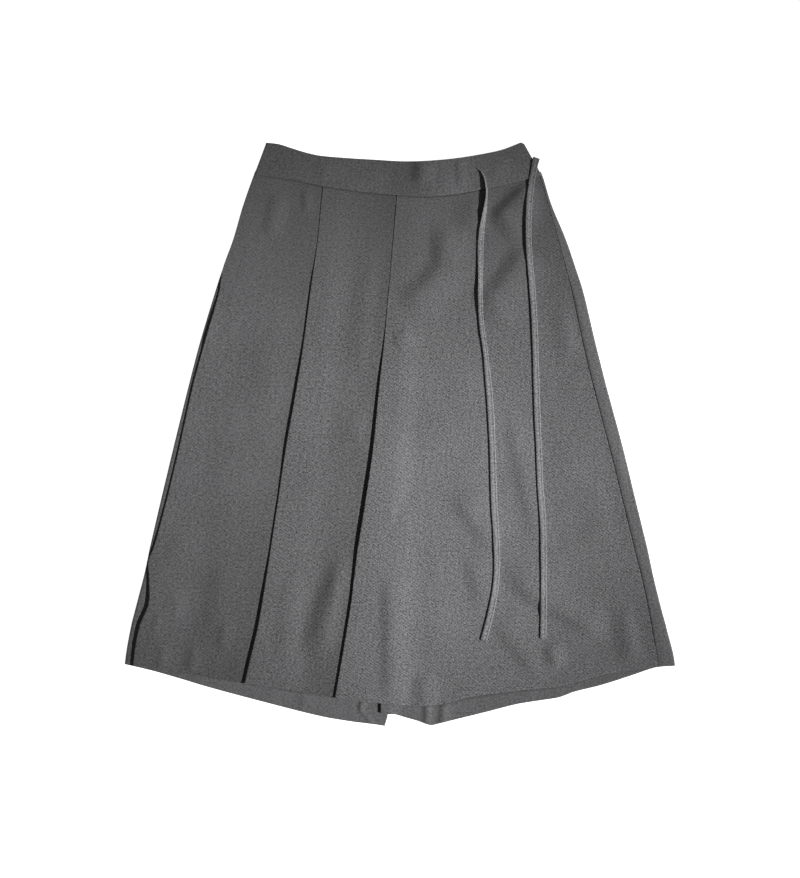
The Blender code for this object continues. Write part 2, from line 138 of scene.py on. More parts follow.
# Lines down the garment. Columns, all in mm: down = Y of the row; then the X there of the right edge of
# the legs, the overskirt's folded right edge, the two pleat edges, the centre seam and inner leg edges
# (of the right leg and of the left leg), the left side seam, and the left edge, where the back folds round.
LINE_COLUMNS = ("down", "edge_right", "fold_edge", "pleat_one", "pleat_two",
                "inner_right", "inner_left", "side_seam", "edge_left")
LINES = (
    (318, -172.6, -171.7, -91.0, -1.8, -1.2, -1.2, 164.6, 166.2),
    (311, -175.2, -174.2, -91.0, -1.8, -1.2, -1.2, 167.4, 170.2),
    (275, -187.9, -187.6, -94.6, -4.6, -3.6, -3.6, 178.2, 181.4),
    (233, -200.1, -199.9, -98.6, -8.2, -6.4, -6.4, 190.2, 198.8),
    (196, -213.4, -213.0, -103.9, -11.3, -8.9, -8.9, 200.2, 211.4),
    (172, -221.2, -216.4, -107.4, -13.6, -10.6, -10.6, 205.8, 219.2),
    (110, -239.8, -234.0, -115.5, -19.0, -14.6, -14.6, 219.0, 234.0),
    (60, -252.9, -247.6, -123.2, -24.6, -18.0, -18.0, 230.8, 246.6),
    (-18, -272.1, -265.0, -137.0, -32.4, -21.6, -21.6, 251.4, 267.5),
    (-83, -287.6, -280.6, -146.7, -41.8, -21.8, -21.8, 267.6, 283.2),
    (-137, -300.1, -295.4, -154.9, -50.6, -21.8, -21.8, 280.8, 296.4),
    (-152, -303.2, -301.3, -157.2, -52.5, -21.8, -21.8, 284.6, 299.6),
    (-169, -306.8, -301.0, -159.9, -54.6, -21.8, -21.8, 289.0, 303.2),
    (-203, -315.6, -301.2, -165.3, -58.8, -20.4, -22.4, 296.4, 311.4),
    (-232, -322.9, -312.4, -170.5, -63.4, -18.2, -22.8, 301.8, 319.2),
    (-276, -330.0, -319.6, -180.9, -70.8, -15.6, -23.5, 308.2, 329.4),
    (-336, -332.0, -321.4, -194.5, -81.2, -14.4, -24.0, 309.0, 330.0),
    (-350, -332.0, -321.4, -197.5, -83.2, -18.0, -24.0, 309.0, 330.0),
)

# Edges across the garment. Columns in mm: across = X, down = Y there.
BAND_TOP = ((-160.2, 349.2), (-145, 347.4), (-128, 342), (-112, 337.2), (-95, 333.6), (-61, 330.6),
            (-28, 328.6), (6, 326.8), (40, 328.0), (73, 331.4), (107, 337.2), (124, 341.3), (140, 347.4),
            (145, 349.3), (149, 347.6))
WAIST_SEAM = ((-176, 312.4), (-126, 304.8), (-84, 296.4), (-31, 289.7), (26, 285.6), (62, 288),
              (94, 293.4), (138, 303), (170, 311))
OVERSKIRT_HEM = ((-324, -277), (-294, -281), (-240, -289.5), (-210, -295.2), (-184, -299), (-132, -307.2),
                 (-77, -316), (-24, -322.6), (38, -325.5), (84, -315.6), (126, -309.6), (168, -305),
                 (192, -302.4), (250, -287), (294, -280.8), (310, -279))
RIGHT_LEG_HEM = ((-330, -276), (-296, -284), (-263, -293.4), (-229, -303.6), (-162, -321.6), (-95, -338.4),
                 (-61, -344.4), (-28, -348.6), (-17, -350.4))
LEFT_LEG_HEM = ((-25, -333.6), (-14, -336), (-6, -336), (6, -339.6), (23, -344.4), (37, -349.2),
                (46, -347.4), (73, -340.8), (107, -332.4), (140, -324), (174, -318.6), (191, -315.8),
                (208, -309.4), (241, -301.2), (275, -290.4), (308, -279.6), (328, -277.8))

# Ties. Columns: across, down in mm; rise = height of the strap's middle over its flat lie, in mm;
# turn = how far the strap stands on its edge, in degrees.
TIE_FRONT_ROUTE = (
    (86.6, 320.6, -2.8, 84), (91.8, 318.9, -1.75, 80), (97.4, 314.5, -0.8, 72), (101.2, 307.7, -0.3, 64),
    (103.4, 297.9, -0.1, 67), (104.2, 288.1, -0.7, 67), (103.3, 277.1, 0.0, 56), (101.6, 267.3, 0.6, 46),
    (99.6, 255.1, -0.5, 30), (97.8, 242.8, -0.7, 14), (96.7, 230.6, -0.7, 7), (96.4, 218.3, -0.5, 4),
    (96.4, 200.0, -0.3, 8),
    (96.2, 176.0, -0.2, 18), (96.2, 160.0, -0.4, 10), (96.6, 145.0, -0.3, 3), (98.3, 126.0, 0, 0),
    (102.0, 100.0, 0, 0), (104.2, 78.0, 0, 0), (106.6, 54.0, 0, 0), (109.2, 18.0, 0, 0),
    (111.2, -30.0, 0, 0), (112.6, -80.0, 0, 0), (115.0, -120.0, 0, 0), (116.2, -152.0, 0, 0),
    (114.6, -182.0, 0, 0), (109.0, -213.0, 0, 0), (100.0, -248.0, 0, 0),
)
TIE_SIDE_ROUTE = (
    (163.6, 331.0, 0, 0), (162.7, 328.2, 0, 0), (161.6, 322.4, 0, 0), (159.3, 310.2, -0.4, 0),
    (158.0, 304.0, -1.0, 0), (157.0, 297.0, -0.9, 0), (155.4, 285.7, 0.1, 0), (154.2, 267.3, 1.0, 0),
    (153.7, 249.0, 1.5, 0), (154.1, 231.0, 0.8, 0), (155.5, 206.0, 0, 0), (157.8, 181.6, 0, 0),
    (159.8, 157.0, 0, 0), (161.6, 122.0, 0, 0), (162.8, 80.0, 0, 0), (164.3, 30.0, 0, 0),
    (166.4, -20.0, 0, 0), (168.2, -64.0, 0, 0), (171.2, -105.0, 0, 0), (172.0, -150.0, 0, 0),
    (172.0, -196.0, -0.3, 0), (172.0, -214.0, -0.3, 0), (171.6, -245.0, 0, 0),
)
# Columns: down = Y in mm; share = the strap's width there against its usual width. It curls in at its
# upper bend, and the side strap spreads where it is sewn on.
TIE_FRONT_WIDTHS = ((-250, 1.04), (50, 1.04), (84, 0.9), (110, 0.84), (180, 0.84), (206, 0.95), (230, 1.02),
                    (282, 1.04), (292, 0.98), (298, 0.9), (308, 0.7), (315, 0.5), (321, 0.42))
TIE_SIDE_WIDTHS = ((-250, 1.04), (322, 1.04), (327, 1.14), (332, 1.3))

# Painted shade: how much the cloth's colour is darkened in the hollow along the waist seam, and along the
# overskirt's hem on the legs, where shade falls. Columns: across = X in mm; share. Each fades out over its
# reach.
WAIST_PAINTED_SHADE = ((-180, 0.14), (-125, 0.4), (-60, 0.42), (20, 0.52), (84, 0.52), (100, 0.3), (118, 0.1),
                (175, 0))
HEM_PAINTED_SHADE = ((-330, 0.0), (-190, 0.08), (-125, 0.34), (-60, 0.1), (10, 0.12), (50, 0.42), (150, 0.42),
              (215, 0.2), (330, 0.0))
WAIST_PAINTED_SHADE_REACH = 2.6 * MM
HEM_PAINTED_SHADE_REACH = 3.4 * MM

# The same painted shade on the back's strip beside the left side seam
SEAM_PAINTED_SHADE = 0.2
SEAM_PAINTED_SHADE_REACH = 17.0 * MM

# How far the front band reaches down over the overskirt's seam line
BAND_OVERLAP = 1.0 * MM


class Slot(Enum):
    """The record's material slots for the cloth pieces."""

    SKIRT = "skirt_cloth"
    BAND = "band_cloth"
    LEG = "leg_cloth"
    TIE = "tie_cloth"


class Held(Enum):
    """How a piece of cloth lies."""

    FOLDED = "folded"
    LAID = "laid"


def eased(t: Array | float) -> Array:
    """Goes from 1 to 0 as t goes from 0 to 1, level at both ends.

    Args:
        t: The place, which may lie past either end.

    Returns:
        The share from 1 down to 0.
    """
    t = np.clip(t, 0.0, 1.0)
    return 1 - t * t * (3 - 2 * t)


def between(low: Array | float, high: Array | float, share: Array | float) -> Array:
    """The place at `share` of the way from `low` to `high`."""
    return low + (high - low) * share


def ends_close(count: int, tightness: float) -> Array:
    """Shares from 0 to 1 that lie closer together near both ends.

    Args:
        count: How many steps there are.
        tightness: 0 for even steps, up to 1 for steps that shrink to nothing at the ends.

    Returns:
        The shares, both ends included.
    """
    t = np.linspace(0.0, 1.0, count + 1)
    return t - tightness * np.sin(2 * math.pi * t) / (2 * math.pi)


def square_start(shares: Array) -> Array:
    """The shares with one more close to the first, which keeps a crisp corner at an unrounded end."""
    return np.insert(shares, 1, between(shares[0], shares[1], 0.04))


class SmoothCurve:
    """A smooth curve through (place, value) rows, held level past either end."""

    def __init__(self, rows: list[tuple[float, float]]) -> None:
        """Works out the curve's slope at each row.

        Args:
            rows: The rows, in any order.
        """
        self.places, self.values = np.array(sorted(rows), float).T
        last = len(self.places) - 1
        low = np.maximum(np.arange(last + 1) - 1, 0)
        high = np.minimum(np.arange(last + 1) + 1, last)
        self.slopes = (self.values[high] - self.values[low]) / (self.places[high] - self.places[low])

    def at(self, place: Array | float) -> Array:
        """Reads the curve.

        Args:
            place: Where to read it.

        Returns:
            The value at each place.
        """
        i = np.clip(np.searchsorted(self.places, place, "right") - 1, 0, len(self.places) - 2)
        width = self.places[i + 1] - self.places[i]
        slope = (self.values[i + 1] - self.values[i]) / width
        t = np.clip((place - self.places[i]) / width, 0.0, 1.0)
        bend = (1 - t) * (self.slopes[i] - slope) - t * (self.slopes[i + 1] - slope)
        return self.values[i] + width * t * (slope + (1 - t) * bend)


class Draft:
    """The maker's draft: named lines down the garment, and edges across it. All answers are in metres."""

    def __init__(self) -> None:
        """Makes a smooth curve of each column and edge."""
        self.lines = {
            name: SmoothCurve([(row[0], row[column]) for row in LINES])
            for column, name in enumerate(LINE_COLUMNS)
            if column > 0
        }
        self.waist_seam = SmoothCurve(list(WAIST_SEAM))
        self.overskirt_hem = SmoothCurve(list(OVERSKIRT_HEM))
        self.waist_painted_shade = SmoothCurve(list(WAIST_PAINTED_SHADE))
        self.hem_painted_shade = SmoothCurve(list(HEM_PAINTED_SHADE))
        self.band_top = SmoothCurve(list(BAND_TOP))

    def x(self, name: str, y: Array | float) -> Array:
        """X of a named line at height y."""
        return MM * self.lines[name].at(np.asarray(y) / MM)

    def line(self, name: str, shift: float = 0.0) -> Line:
        """A line down the garment, moved sideways by `shift`."""
        return lambda y: self.x(name, y) + shift

    def edge_y(self, curve: SmoothCurve, x: Array | float) -> Array:
        """Y of an edge across the garment at x."""
        return MM * curve.at(np.asarray(x) / MM)


DRAFT = Draft()


@dataclass(frozen=True)
class Crease:
    """A soft ridge along a line of points, with its own reach to either side and its height, all in mm.

    The dark flank lies away from the light, towards -X, so a short left reach makes a crisp crease. `taper`
    is the share of its length over which it fades at either end.
    """

    points: tuple[tuple[float, float], ...]
    left: float
    right: float
    height: float
    taper: float = 0.35

    def at(self, x: Array, y: Array) -> Array:
        """Height of the ridge at each place, in metres.

        Args:
            x: X of the places, in metres.
            y: Y of the places, in metres.

        Returns:
            The height there: none past the ridge's reach, and less towards its ends.
        """
        x, y = x / MM, y / MM
        nearest = np.full(np.shape(x), np.inf)
        aside = np.zeros(np.shape(x))
        along = np.zeros(np.shape(x))
        run = 0.0
        for (ax, ay), (bx, by) in zip(self.points, self.points[1:]):
            length = math.hypot(bx - ax, by - ay)
            t = np.clip(((x - ax) * (bx - ax) + (y - ay) * (by - ay)) / length**2, 0.0, 1.0)
            near_x, near_y = ax + t * (bx - ax), ay + t * (by - ay)
            away = np.hypot(x - near_x, y - near_y)
            closer = away < nearest
            nearest = np.where(closer, away, nearest)
            aside = np.where(closer, x - near_x, aside)
            along = np.where(closer, run + t * length, along)
            run += length
        blend = 1 - eased((aside + CREST) / (2 * CREST))
        reach = between(self.left, self.right, blend)
        ends = np.minimum(along, run - along) / (self.taper * run)
        return MM * self.height * eased(nearest / reach) * (1 - eased(ends))


def relief(creases: tuple[Crease, ...], x: Array, y: Array) -> Array:
    """Adds up creases.

    Args:
        creases: The creases, which may cross.
        x: X of the places, in metres.
        y: Y of the places, in metres.

    Returns:
        Their height together at each place.
    """
    total = np.zeros(np.shape(x))
    for crease in creases:
        total = total + crease.at(x, y)
    return total


# Low swells that all layers share, as the whole garment doesn't lie dead flat
COMMON_FOLDS = (
    Crease(((-150, 190), (-176, 40), (-204, -120)), 46, 52, 0.8),
    Crease(((-60, 120), (-88, -60), (-118, -210)), 44, 60, 0.72),
    Crease(((70, 150), (92, -20), (88, -150)), 50, 60, 0.96),
    Crease(((190, 60), (214, -90), (240, -190)), 42, 44, 0.88),
    Crease(((24, -60), (40, -180), (36, -280)), 40, 46, 0.8),
)

# Creases of each piece. Places and reaches are read off the photo, and heights follow its shading.
RIGHT_GORE_CREASES = (
    Crease(((-111, 300), (-112, 262)), 9, 14, 1.28, 0.25),
    Crease(((-146, 292), (-152, 262), (-158, 232)), 14, 20, 1.6, 0.25),
    Crease(((-196, 70), (-206, -20), (-222, -110)), 34, 50, 1.28),
    Crease(((-150, 120), (-160, 20), (-168, -60)), 30, 26, 0.8),
    Crease(((-206, -130), (-218, -200), (-232, -262)), 22, 40, 1.44),
    Crease(((-247, -246), (-252, -290)), 8, 12, 1.2, 0.3),
    Crease(((-208, -222), (-216, -262)), 9, 14, 1.28, 0.3),
    Crease(((-284, -250), (-288, -284)), 7, 9, 0.96, 0.3),
    Crease(((-262, -196), (-272, -226)), 8, 7, 0.64),
    Crease(((-288, -214), (-296, -240)), 7, 8, 0.72),
    Crease(((-190, -262), (-193, -300)), 10, 12, 0.8, 0.3),
    Crease(((-226, 170), (-240, 96)), 26, 20, 0.96),
)
MIDDLE_GORE_CREASES = (
    Crease(((-52, 38), (-48, -26)), 38, 24, 1.44),
    Crease(((-60, -136), (-74, -181), (-86, -212), (-98, -250), (-102, -280)), 25, 32, 4.48, 0.3),
    Crease(((-30, 240), (-42, 150), (-50, 60)), 22, 16, 0.96),
    Crease(((-120, 120), (-128, 20), (-136, -70)), 26, 30, 0.88),
    Crease(((-128, -160), (-142, -280)), 16, 20, 0.96, 0.25),
    Crease(((-66, -262), (-70, -318)), 14, 14, 0.96, 0.3),
)
LEFT_GORE_CREASES = (
    Crease(((168, 317), (153, 297), (141, 280), (127, 265), (108, 250)), 18, 46, 5.28, 0.25),
    Crease(((157, 226), (119, 168), (90, 148)), 22, 46, 4.16, 0.25),
    Crease(((55, 260), (53, 202), (29, 171), (-4, 153)), 22, 40, 3.68, 0.25),
    Crease(((14, 124), (-10, 106)), 12, 22, 1.44),
    Crease(((92, 288), (86, 240)), 30, 22, 2.08),
    Crease(((64, -66), (84, -96), (104, -122), (113, -146)), 18, 44, 2.72),
    Crease(((82, -136), (104, -216)), 18, 38, 2.24),
    Crease(((131, 44), (146, -47), (162, -116), (167, -142)), 15, 28, 1.92),
    Crease(((122, -156), (159, -190), (194, -210), (230, -232), (256, -240)), 18, 36, 3.68, 0.25),
    Crease(((178, -246), (190, -284)), 12, 20, 2.4, 0.4),
    Crease(((112, -216), (150, -266), (176, -298)), 16, 38, 2.4),
    Crease(((180, -250), (184, -282)), 10, 14, 1.28),
    Crease(((-12, -160), (-11, -330)), 15, 28, 2.08, 0.25),
    Crease(((28, -282), (30, -336)), 16, 22, 2.4, 0.3),
    Crease(((208, 160), (214, 86)), 34, 24, 2.72, 0.3),
    Crease(((40, 60), (44, -40)), 44, 50, 1.12),
    Crease(((230, -40), (246, -150)), 30, 26, 1.28),
    Crease(((266, -200), (280, -284)), 22, 18, 2.24, 0.3),
)
RIGHT_LEG_CREASES = (
    Crease(((-43, -315), (-49, -331)), 2.2, 8, 1.2, 0.1),
    Crease(((-49, -329), (-32, -348)), 4, 4, 0.8, 0.15),
    Crease(((-110, -290), (-116, -338)), 12, 18, 0.8, 0.3),
    Crease(((-238, -250), (-246, -306)), 12, 16, 0.64, 0.3),
)
LEFT_LEG_CREASES = (
    Crease(((33, -300), (32, -352)), 6, 8, 1.76, 0.15),
    Crease(((54, -300), (50, -352)), 6, 12, 1.6, 0.15),
    Crease(((150, -270), (156, -326)), 14, 18, 0.8, 0.3),
    Crease(((250, -240), (258, -300)), 14, 16, 0.8, 0.3),
)
WRAP_CREASES = (
    Crease(((196, 172), (214, 152)), 4, 8, 0.8),
    Crease(((286, -226), (304, -262)), 8, 10, 0.96),
    Crease(((258, -20), (270, -60)), 8, 8, 0.56),
)
BAND_CREASES = (
    Crease(((27, 330), (24, 297)), 15, 20, 3.04, 0.25),
    Crease(((70, 332), (72, 296)), 5, 15, 0.72, 0.2),
    Crease(((112, 330), (124, 308)), 16, 16, 0.8),
    Crease(((-96, 330), (-92, 300)), 14, 30, 0.72),
    Crease(((-40, 322), (-28, 298)), 30, 24, 0.56),
)


class Panel:
    """The flat cut of one piece: two lines down its sides, and two edges across it."""

    def __init__(self, left: Line, right: Line, hem: tuple, shorter: float = 0.0) -> None:
        """Finds the four corners.

        Args:
            left: X of the left side at a height.
            right: X of the right side at a height.
            hem: Rows of the hem.
            shorter: How much higher than those rows the hem ends.
        """
        hem_curve = SmoothCurve(list(hem))
        self.left = left
        self.right = right
        self.top: Line = lambda x: DRAFT.edge_y(DRAFT.waist_seam, x)
        self.hem: Line = lambda x: DRAFT.edge_y(hem_curve, x) + shorter
        self.corners = [self.meet(line, edge) for line in (left, right) for edge in (self.top, self.hem)]

    def meet(self, line: Line, edge: Line) -> float:
        """Finds where a side line meets an edge.

        Args:
            line: X of the side at a height.
            edge: Y of the edge at an X.

        Returns:
            Y of the place where they meet.
        """
        y = edge(line(0.0))
        for _ in range(TRIES):
            y = edge(line(y))
        return float(y)

    def sides(self, share: Array) -> tuple[Array, Array, Array, Array]:
        """Places on both sides.

        Args:
            share: How far down, from 0 at the waist seam to 1 at the hem.

        Returns:
            X and Y on the left line, then on the right one.
        """
        top_left, hem_left, top_right, hem_right = self.corners
        y_left = between(top_left, hem_left, share)
        y_right = between(top_right, hem_right, share)
        return self.left(y_left), y_left, self.right(y_right), y_right

    def width(self, share: Array) -> Array:
        """Width of the piece at `share` of the way down."""
        x_left, _, x_right, _ = self.sides(share)
        return x_right - x_left

    def point(self, offset: Array, share: Array) -> tuple[Array, Array]:
        """Places on the laid-out piece.

        Args:
            offset: How far in from the left line, which may pass the right one.
            share: How far down, from 0 at the waist seam to 1 at the hem.

        Returns:
            X and Y.
        """
        top_left, hem_left, top_right, hem_right = self.corners
        x_left, y_left, x_right, y_right = self.sides(share)
        across = offset / (x_right - x_left)
        x_top = between(self.left(top_left), self.right(top_right), across)
        x_hem = between(self.left(hem_left), self.right(hem_right), across)
        y = between(y_left, y_right, across)
        y = y + (1 - share) * (self.top(x_top) - between(top_left, top_right, across))
        y = y + share * (self.hem(x_hem) - between(hem_left, hem_right, across))
        return x_left + offset, y


def leg_lift(x: Array, y: Array) -> Array:
    """Works out how the left leg's inner edge rides up on the right leg.

    Args:
        x: X of the places, in metres.
        y: Y of the places, in metres.

    Returns:
        How far the left leg is lifted at each place.
    """
    out = (x - DRAFT.x("inner_left", y) - LEG_FLAT) / LEG_SLOPE
    down = (y - LEG_RISE_TO) / (LEG_RISE_FROM - LEG_RISE_TO)
    return LEG_LIFT * eased(out) * eased(down)


def leg_cover(x: Array, y: Array) -> Array:
    """Works out how the overskirt rides up on the left leg's inner edge.

    Args:
        x: X of the places, in metres.
        y: Y of the places, in metres.

    Returns:
        How far the overskirt is lifted at each place.
    """
    out = (x - DRAFT.x("inner_left", y) - LEG_COVER_FLAT) / LEG_COVER_SLOPE
    down = (y - LEG_COVER_TO) / (LEG_COVER_FROM - LEG_COVER_TO)
    return LEG_LIFT * eased(out) * eased(down)


def pleat_depth(share: Array) -> Array:
    """How deep a knife pleat is at `share` of the way down."""
    return between(PLEAT_DEPTH_WAIST, PLEAT_DEPTH_HEM, np.clip(share, 0.0, 1.0) ** PLEAT_FLARE)


def turning_depth(share: Array) -> Array:
    """How deep the overskirt's side turning is at `share` of the way down."""
    return between(SIDE_TURNING_WAIST, SIDE_TURNING_HEM, share)


def seam_opening(share: Array) -> Array:
    """How far the side seam has opened, from 0 to 1, at `share` of the way down."""
    return 1 - eased((share - SEAM_FLAT_TO) / (SEAM_OPEN_FROM - SEAM_FLAT_TO))


def waist_painted_shade(x: Array, y: Array) -> Array:
    """Painted shade: how much the overskirt's colour is darkened in the hollow under the waistband's seam.
    """
    below = DRAFT.edge_y(DRAFT.waist_seam, x) - y - BAND_OVERLAP
    return DRAFT.waist_painted_shade.at(x / MM) * eased(below / WAIST_PAINTED_SHADE_REACH)


def hem_painted_shade(x: Array, y: Array) -> Array:
    """Painted shade: how much a leg's colour is darkened in the hollow under the overskirt's hem."""
    below = DRAFT.edge_y(DRAFT.overskirt_hem, x) - y
    return DRAFT.hem_painted_shade.at(x / MM) * eased(below / HEM_PAINTED_SHADE_REACH)


def common_lie(x: Array, y: Array) -> Array:
    """How far every layer is lifted off the table at a place."""
    return relief(COMMON_FOLDS, x, y)


# Patterns of the melange: features in each millimetre, how many finer layers, and how strong those are.
# Streaks are drawn out down the cloth. The last row is how much ribs, flecks and fibres stand out.
FLECKS = (0.36, 1.0, 0.5)
FIBRES = (0.66, 1.0, 0.6)
CLOUDS = (0.012, 3.0, 0.55)
STREAKS = (0.30, 2.0, 0.6)
STREAK_STRETCH = (1.0, 0.09, 1.0)
THREAD_TWIST = (2.2, 1.0, 0.5)
BUMP_SHARES = (0.55, 0.6, 0.45)


@dataclass(frozen=True)
class TwillFinish:
    """Grey melange twill: darker and lighter fibres, diagonal ribs and a soft nap.

    Lengths are in millimetres of the laid-out cloth, which the UV map holds in metres. `tone` is the mean
    grey, and each `..._tone` after it is a pattern's share of it. The rows give the grain's strength, and
    painted light and shade: shares that lighten or darken the colour down and across the piece where light
    falls more or less.
    """

    name: str
    tone: float
    rib_pitch: float = 2.75
    rib_turn: float = -57.0
    rib_tone: float = 0.085
    fleck_tone: float = 0.42
    fibre_tone: float = 0.62
    cloud_tone: float = 0.10
    streak_tone: float = 0.12
    relief: float = 0.16
    coolness: float = 0.02
    roughness: float = 0.94
    specular: float = 0.18
    sheen: float = 0.12
    sheen_roughness: float = 0.6
    grain_down: tuple[tuple[float, float], ...] = ((-330, 1.0), (330, 1.0))
    # Painted light and shade: shares of the colour down and across the piece, lighter where more light falls
    painted_shading_down: tuple[tuple[float, float], ...] = ((-330, 1.0), (330, 1.0))
    painted_shading_across: tuple[tuple[float, float], ...] = ((-330, 1.0), (330, 1.0))

    def material(self) -> bpy.types.Material:
        """Builds the node material.

        Returns:
            A material that reads the piece's UV map.
        """
        material = bpy.data.materials.new(self.name)
        material.use_nodes = True
        web = NodeWeb(material.node_tree)
        cloth_mm = web.scaled(web.uv(), (1 / MM, 1 / MM, 1.0))
        ribs = web.ribs(web.turned(cloth_mm, self.rib_turn), self.rib_pitch)
        flecks = web.noise(cloth_mm, *FLECKS)
        fibres = web.noise(cloth_mm, *FIBRES)
        clouds = web.noise(cloth_mm, *CLOUDS)
        streaks = web.noise(web.scaled(cloth_mm, STREAK_STRETCH), *STREAKS)
        tone = web.total(
            (
                (ribs, self.rib_tone),
                (flecks, self.fleck_tone),
                (fibres, self.fibre_tone),
                (clouds, self.cloud_tone),
                (streaks, self.streak_tone),
            )
        )
        across, down = web.split(cloth_mm)
        grain = web.maths("MULTIPLY", web.maths("SUBTRACT", tone, 0.5), web.shares(down, self.grain_down))
        colour = web.grey_ramp(web.maths("ADD", grain, 0.5), self.tone, self.coolness)
        # Painted light and shade: the colour is lightened and darkened down and across the piece
        colour = web.multiplied(colour, web.shares(down, self.painted_shading_down))
        colour = web.multiplied(colour, web.shares(across, self.painted_shading_across))
        # Painted shade: the colour is darkened in the hollows along the seams and hems
        colour = web.multiplied(colour, web.maths("SUBTRACT", 1.0, web.attribute(PAINTED_SHADE)))
        height = web.total(tuple(zip((ribs, flecks, fibres), BUMP_SHARES)))
        shader = web.tree.nodes["Principled BSDF"]
        shader.inputs["Roughness"].default_value = self.roughness
        shader.inputs["Specular IOR Level"].default_value = self.specular
        shader.inputs["Sheen Weight"].default_value = self.sheen
        shader.inputs["Sheen Roughness"].default_value = self.sheen_roughness
        web.tree.links.new(colour, shader.inputs["Base Color"])
        web.tree.links.new(web.bump(height, self.relief * MM), shader.inputs["Normal"])
        return material


@dataclass(frozen=True)
class ThreadFinish:
    """Sewing thread: a little shinier than the cloth, with its twist as fine light and dark flecks."""

    name: str
    tone: float
    roughness: float = 0.7
    sheen: float = 0.1

    def material(self) -> bpy.types.Material:
        """Builds the node material.

        Returns:
            A material that reads Object coordinates.
        """
        material = bpy.data.materials.new(self.name)
        material.use_nodes = True
        web = NodeWeb(material.node_tree)
        place_mm = web.scaled(web.object_place(), (1 / MM, 1 / MM, 1 / MM))
        twist = web.noise(place_mm, *THREAD_TWIST)
        colour = web.grey_ramp(web.total(((twist, 0.5),)), self.tone, 0.0)
        shader = web.tree.nodes["Principled BSDF"]
        shader.inputs["Roughness"].default_value = self.roughness
        shader.inputs["Sheen Weight"].default_value = self.sheen
        web.tree.links.new(colour, shader.inputs["Base Color"])
        return material


# How many radians a wave texture of scale 1 goes through in each unit
WAVE_RADIANS = 20


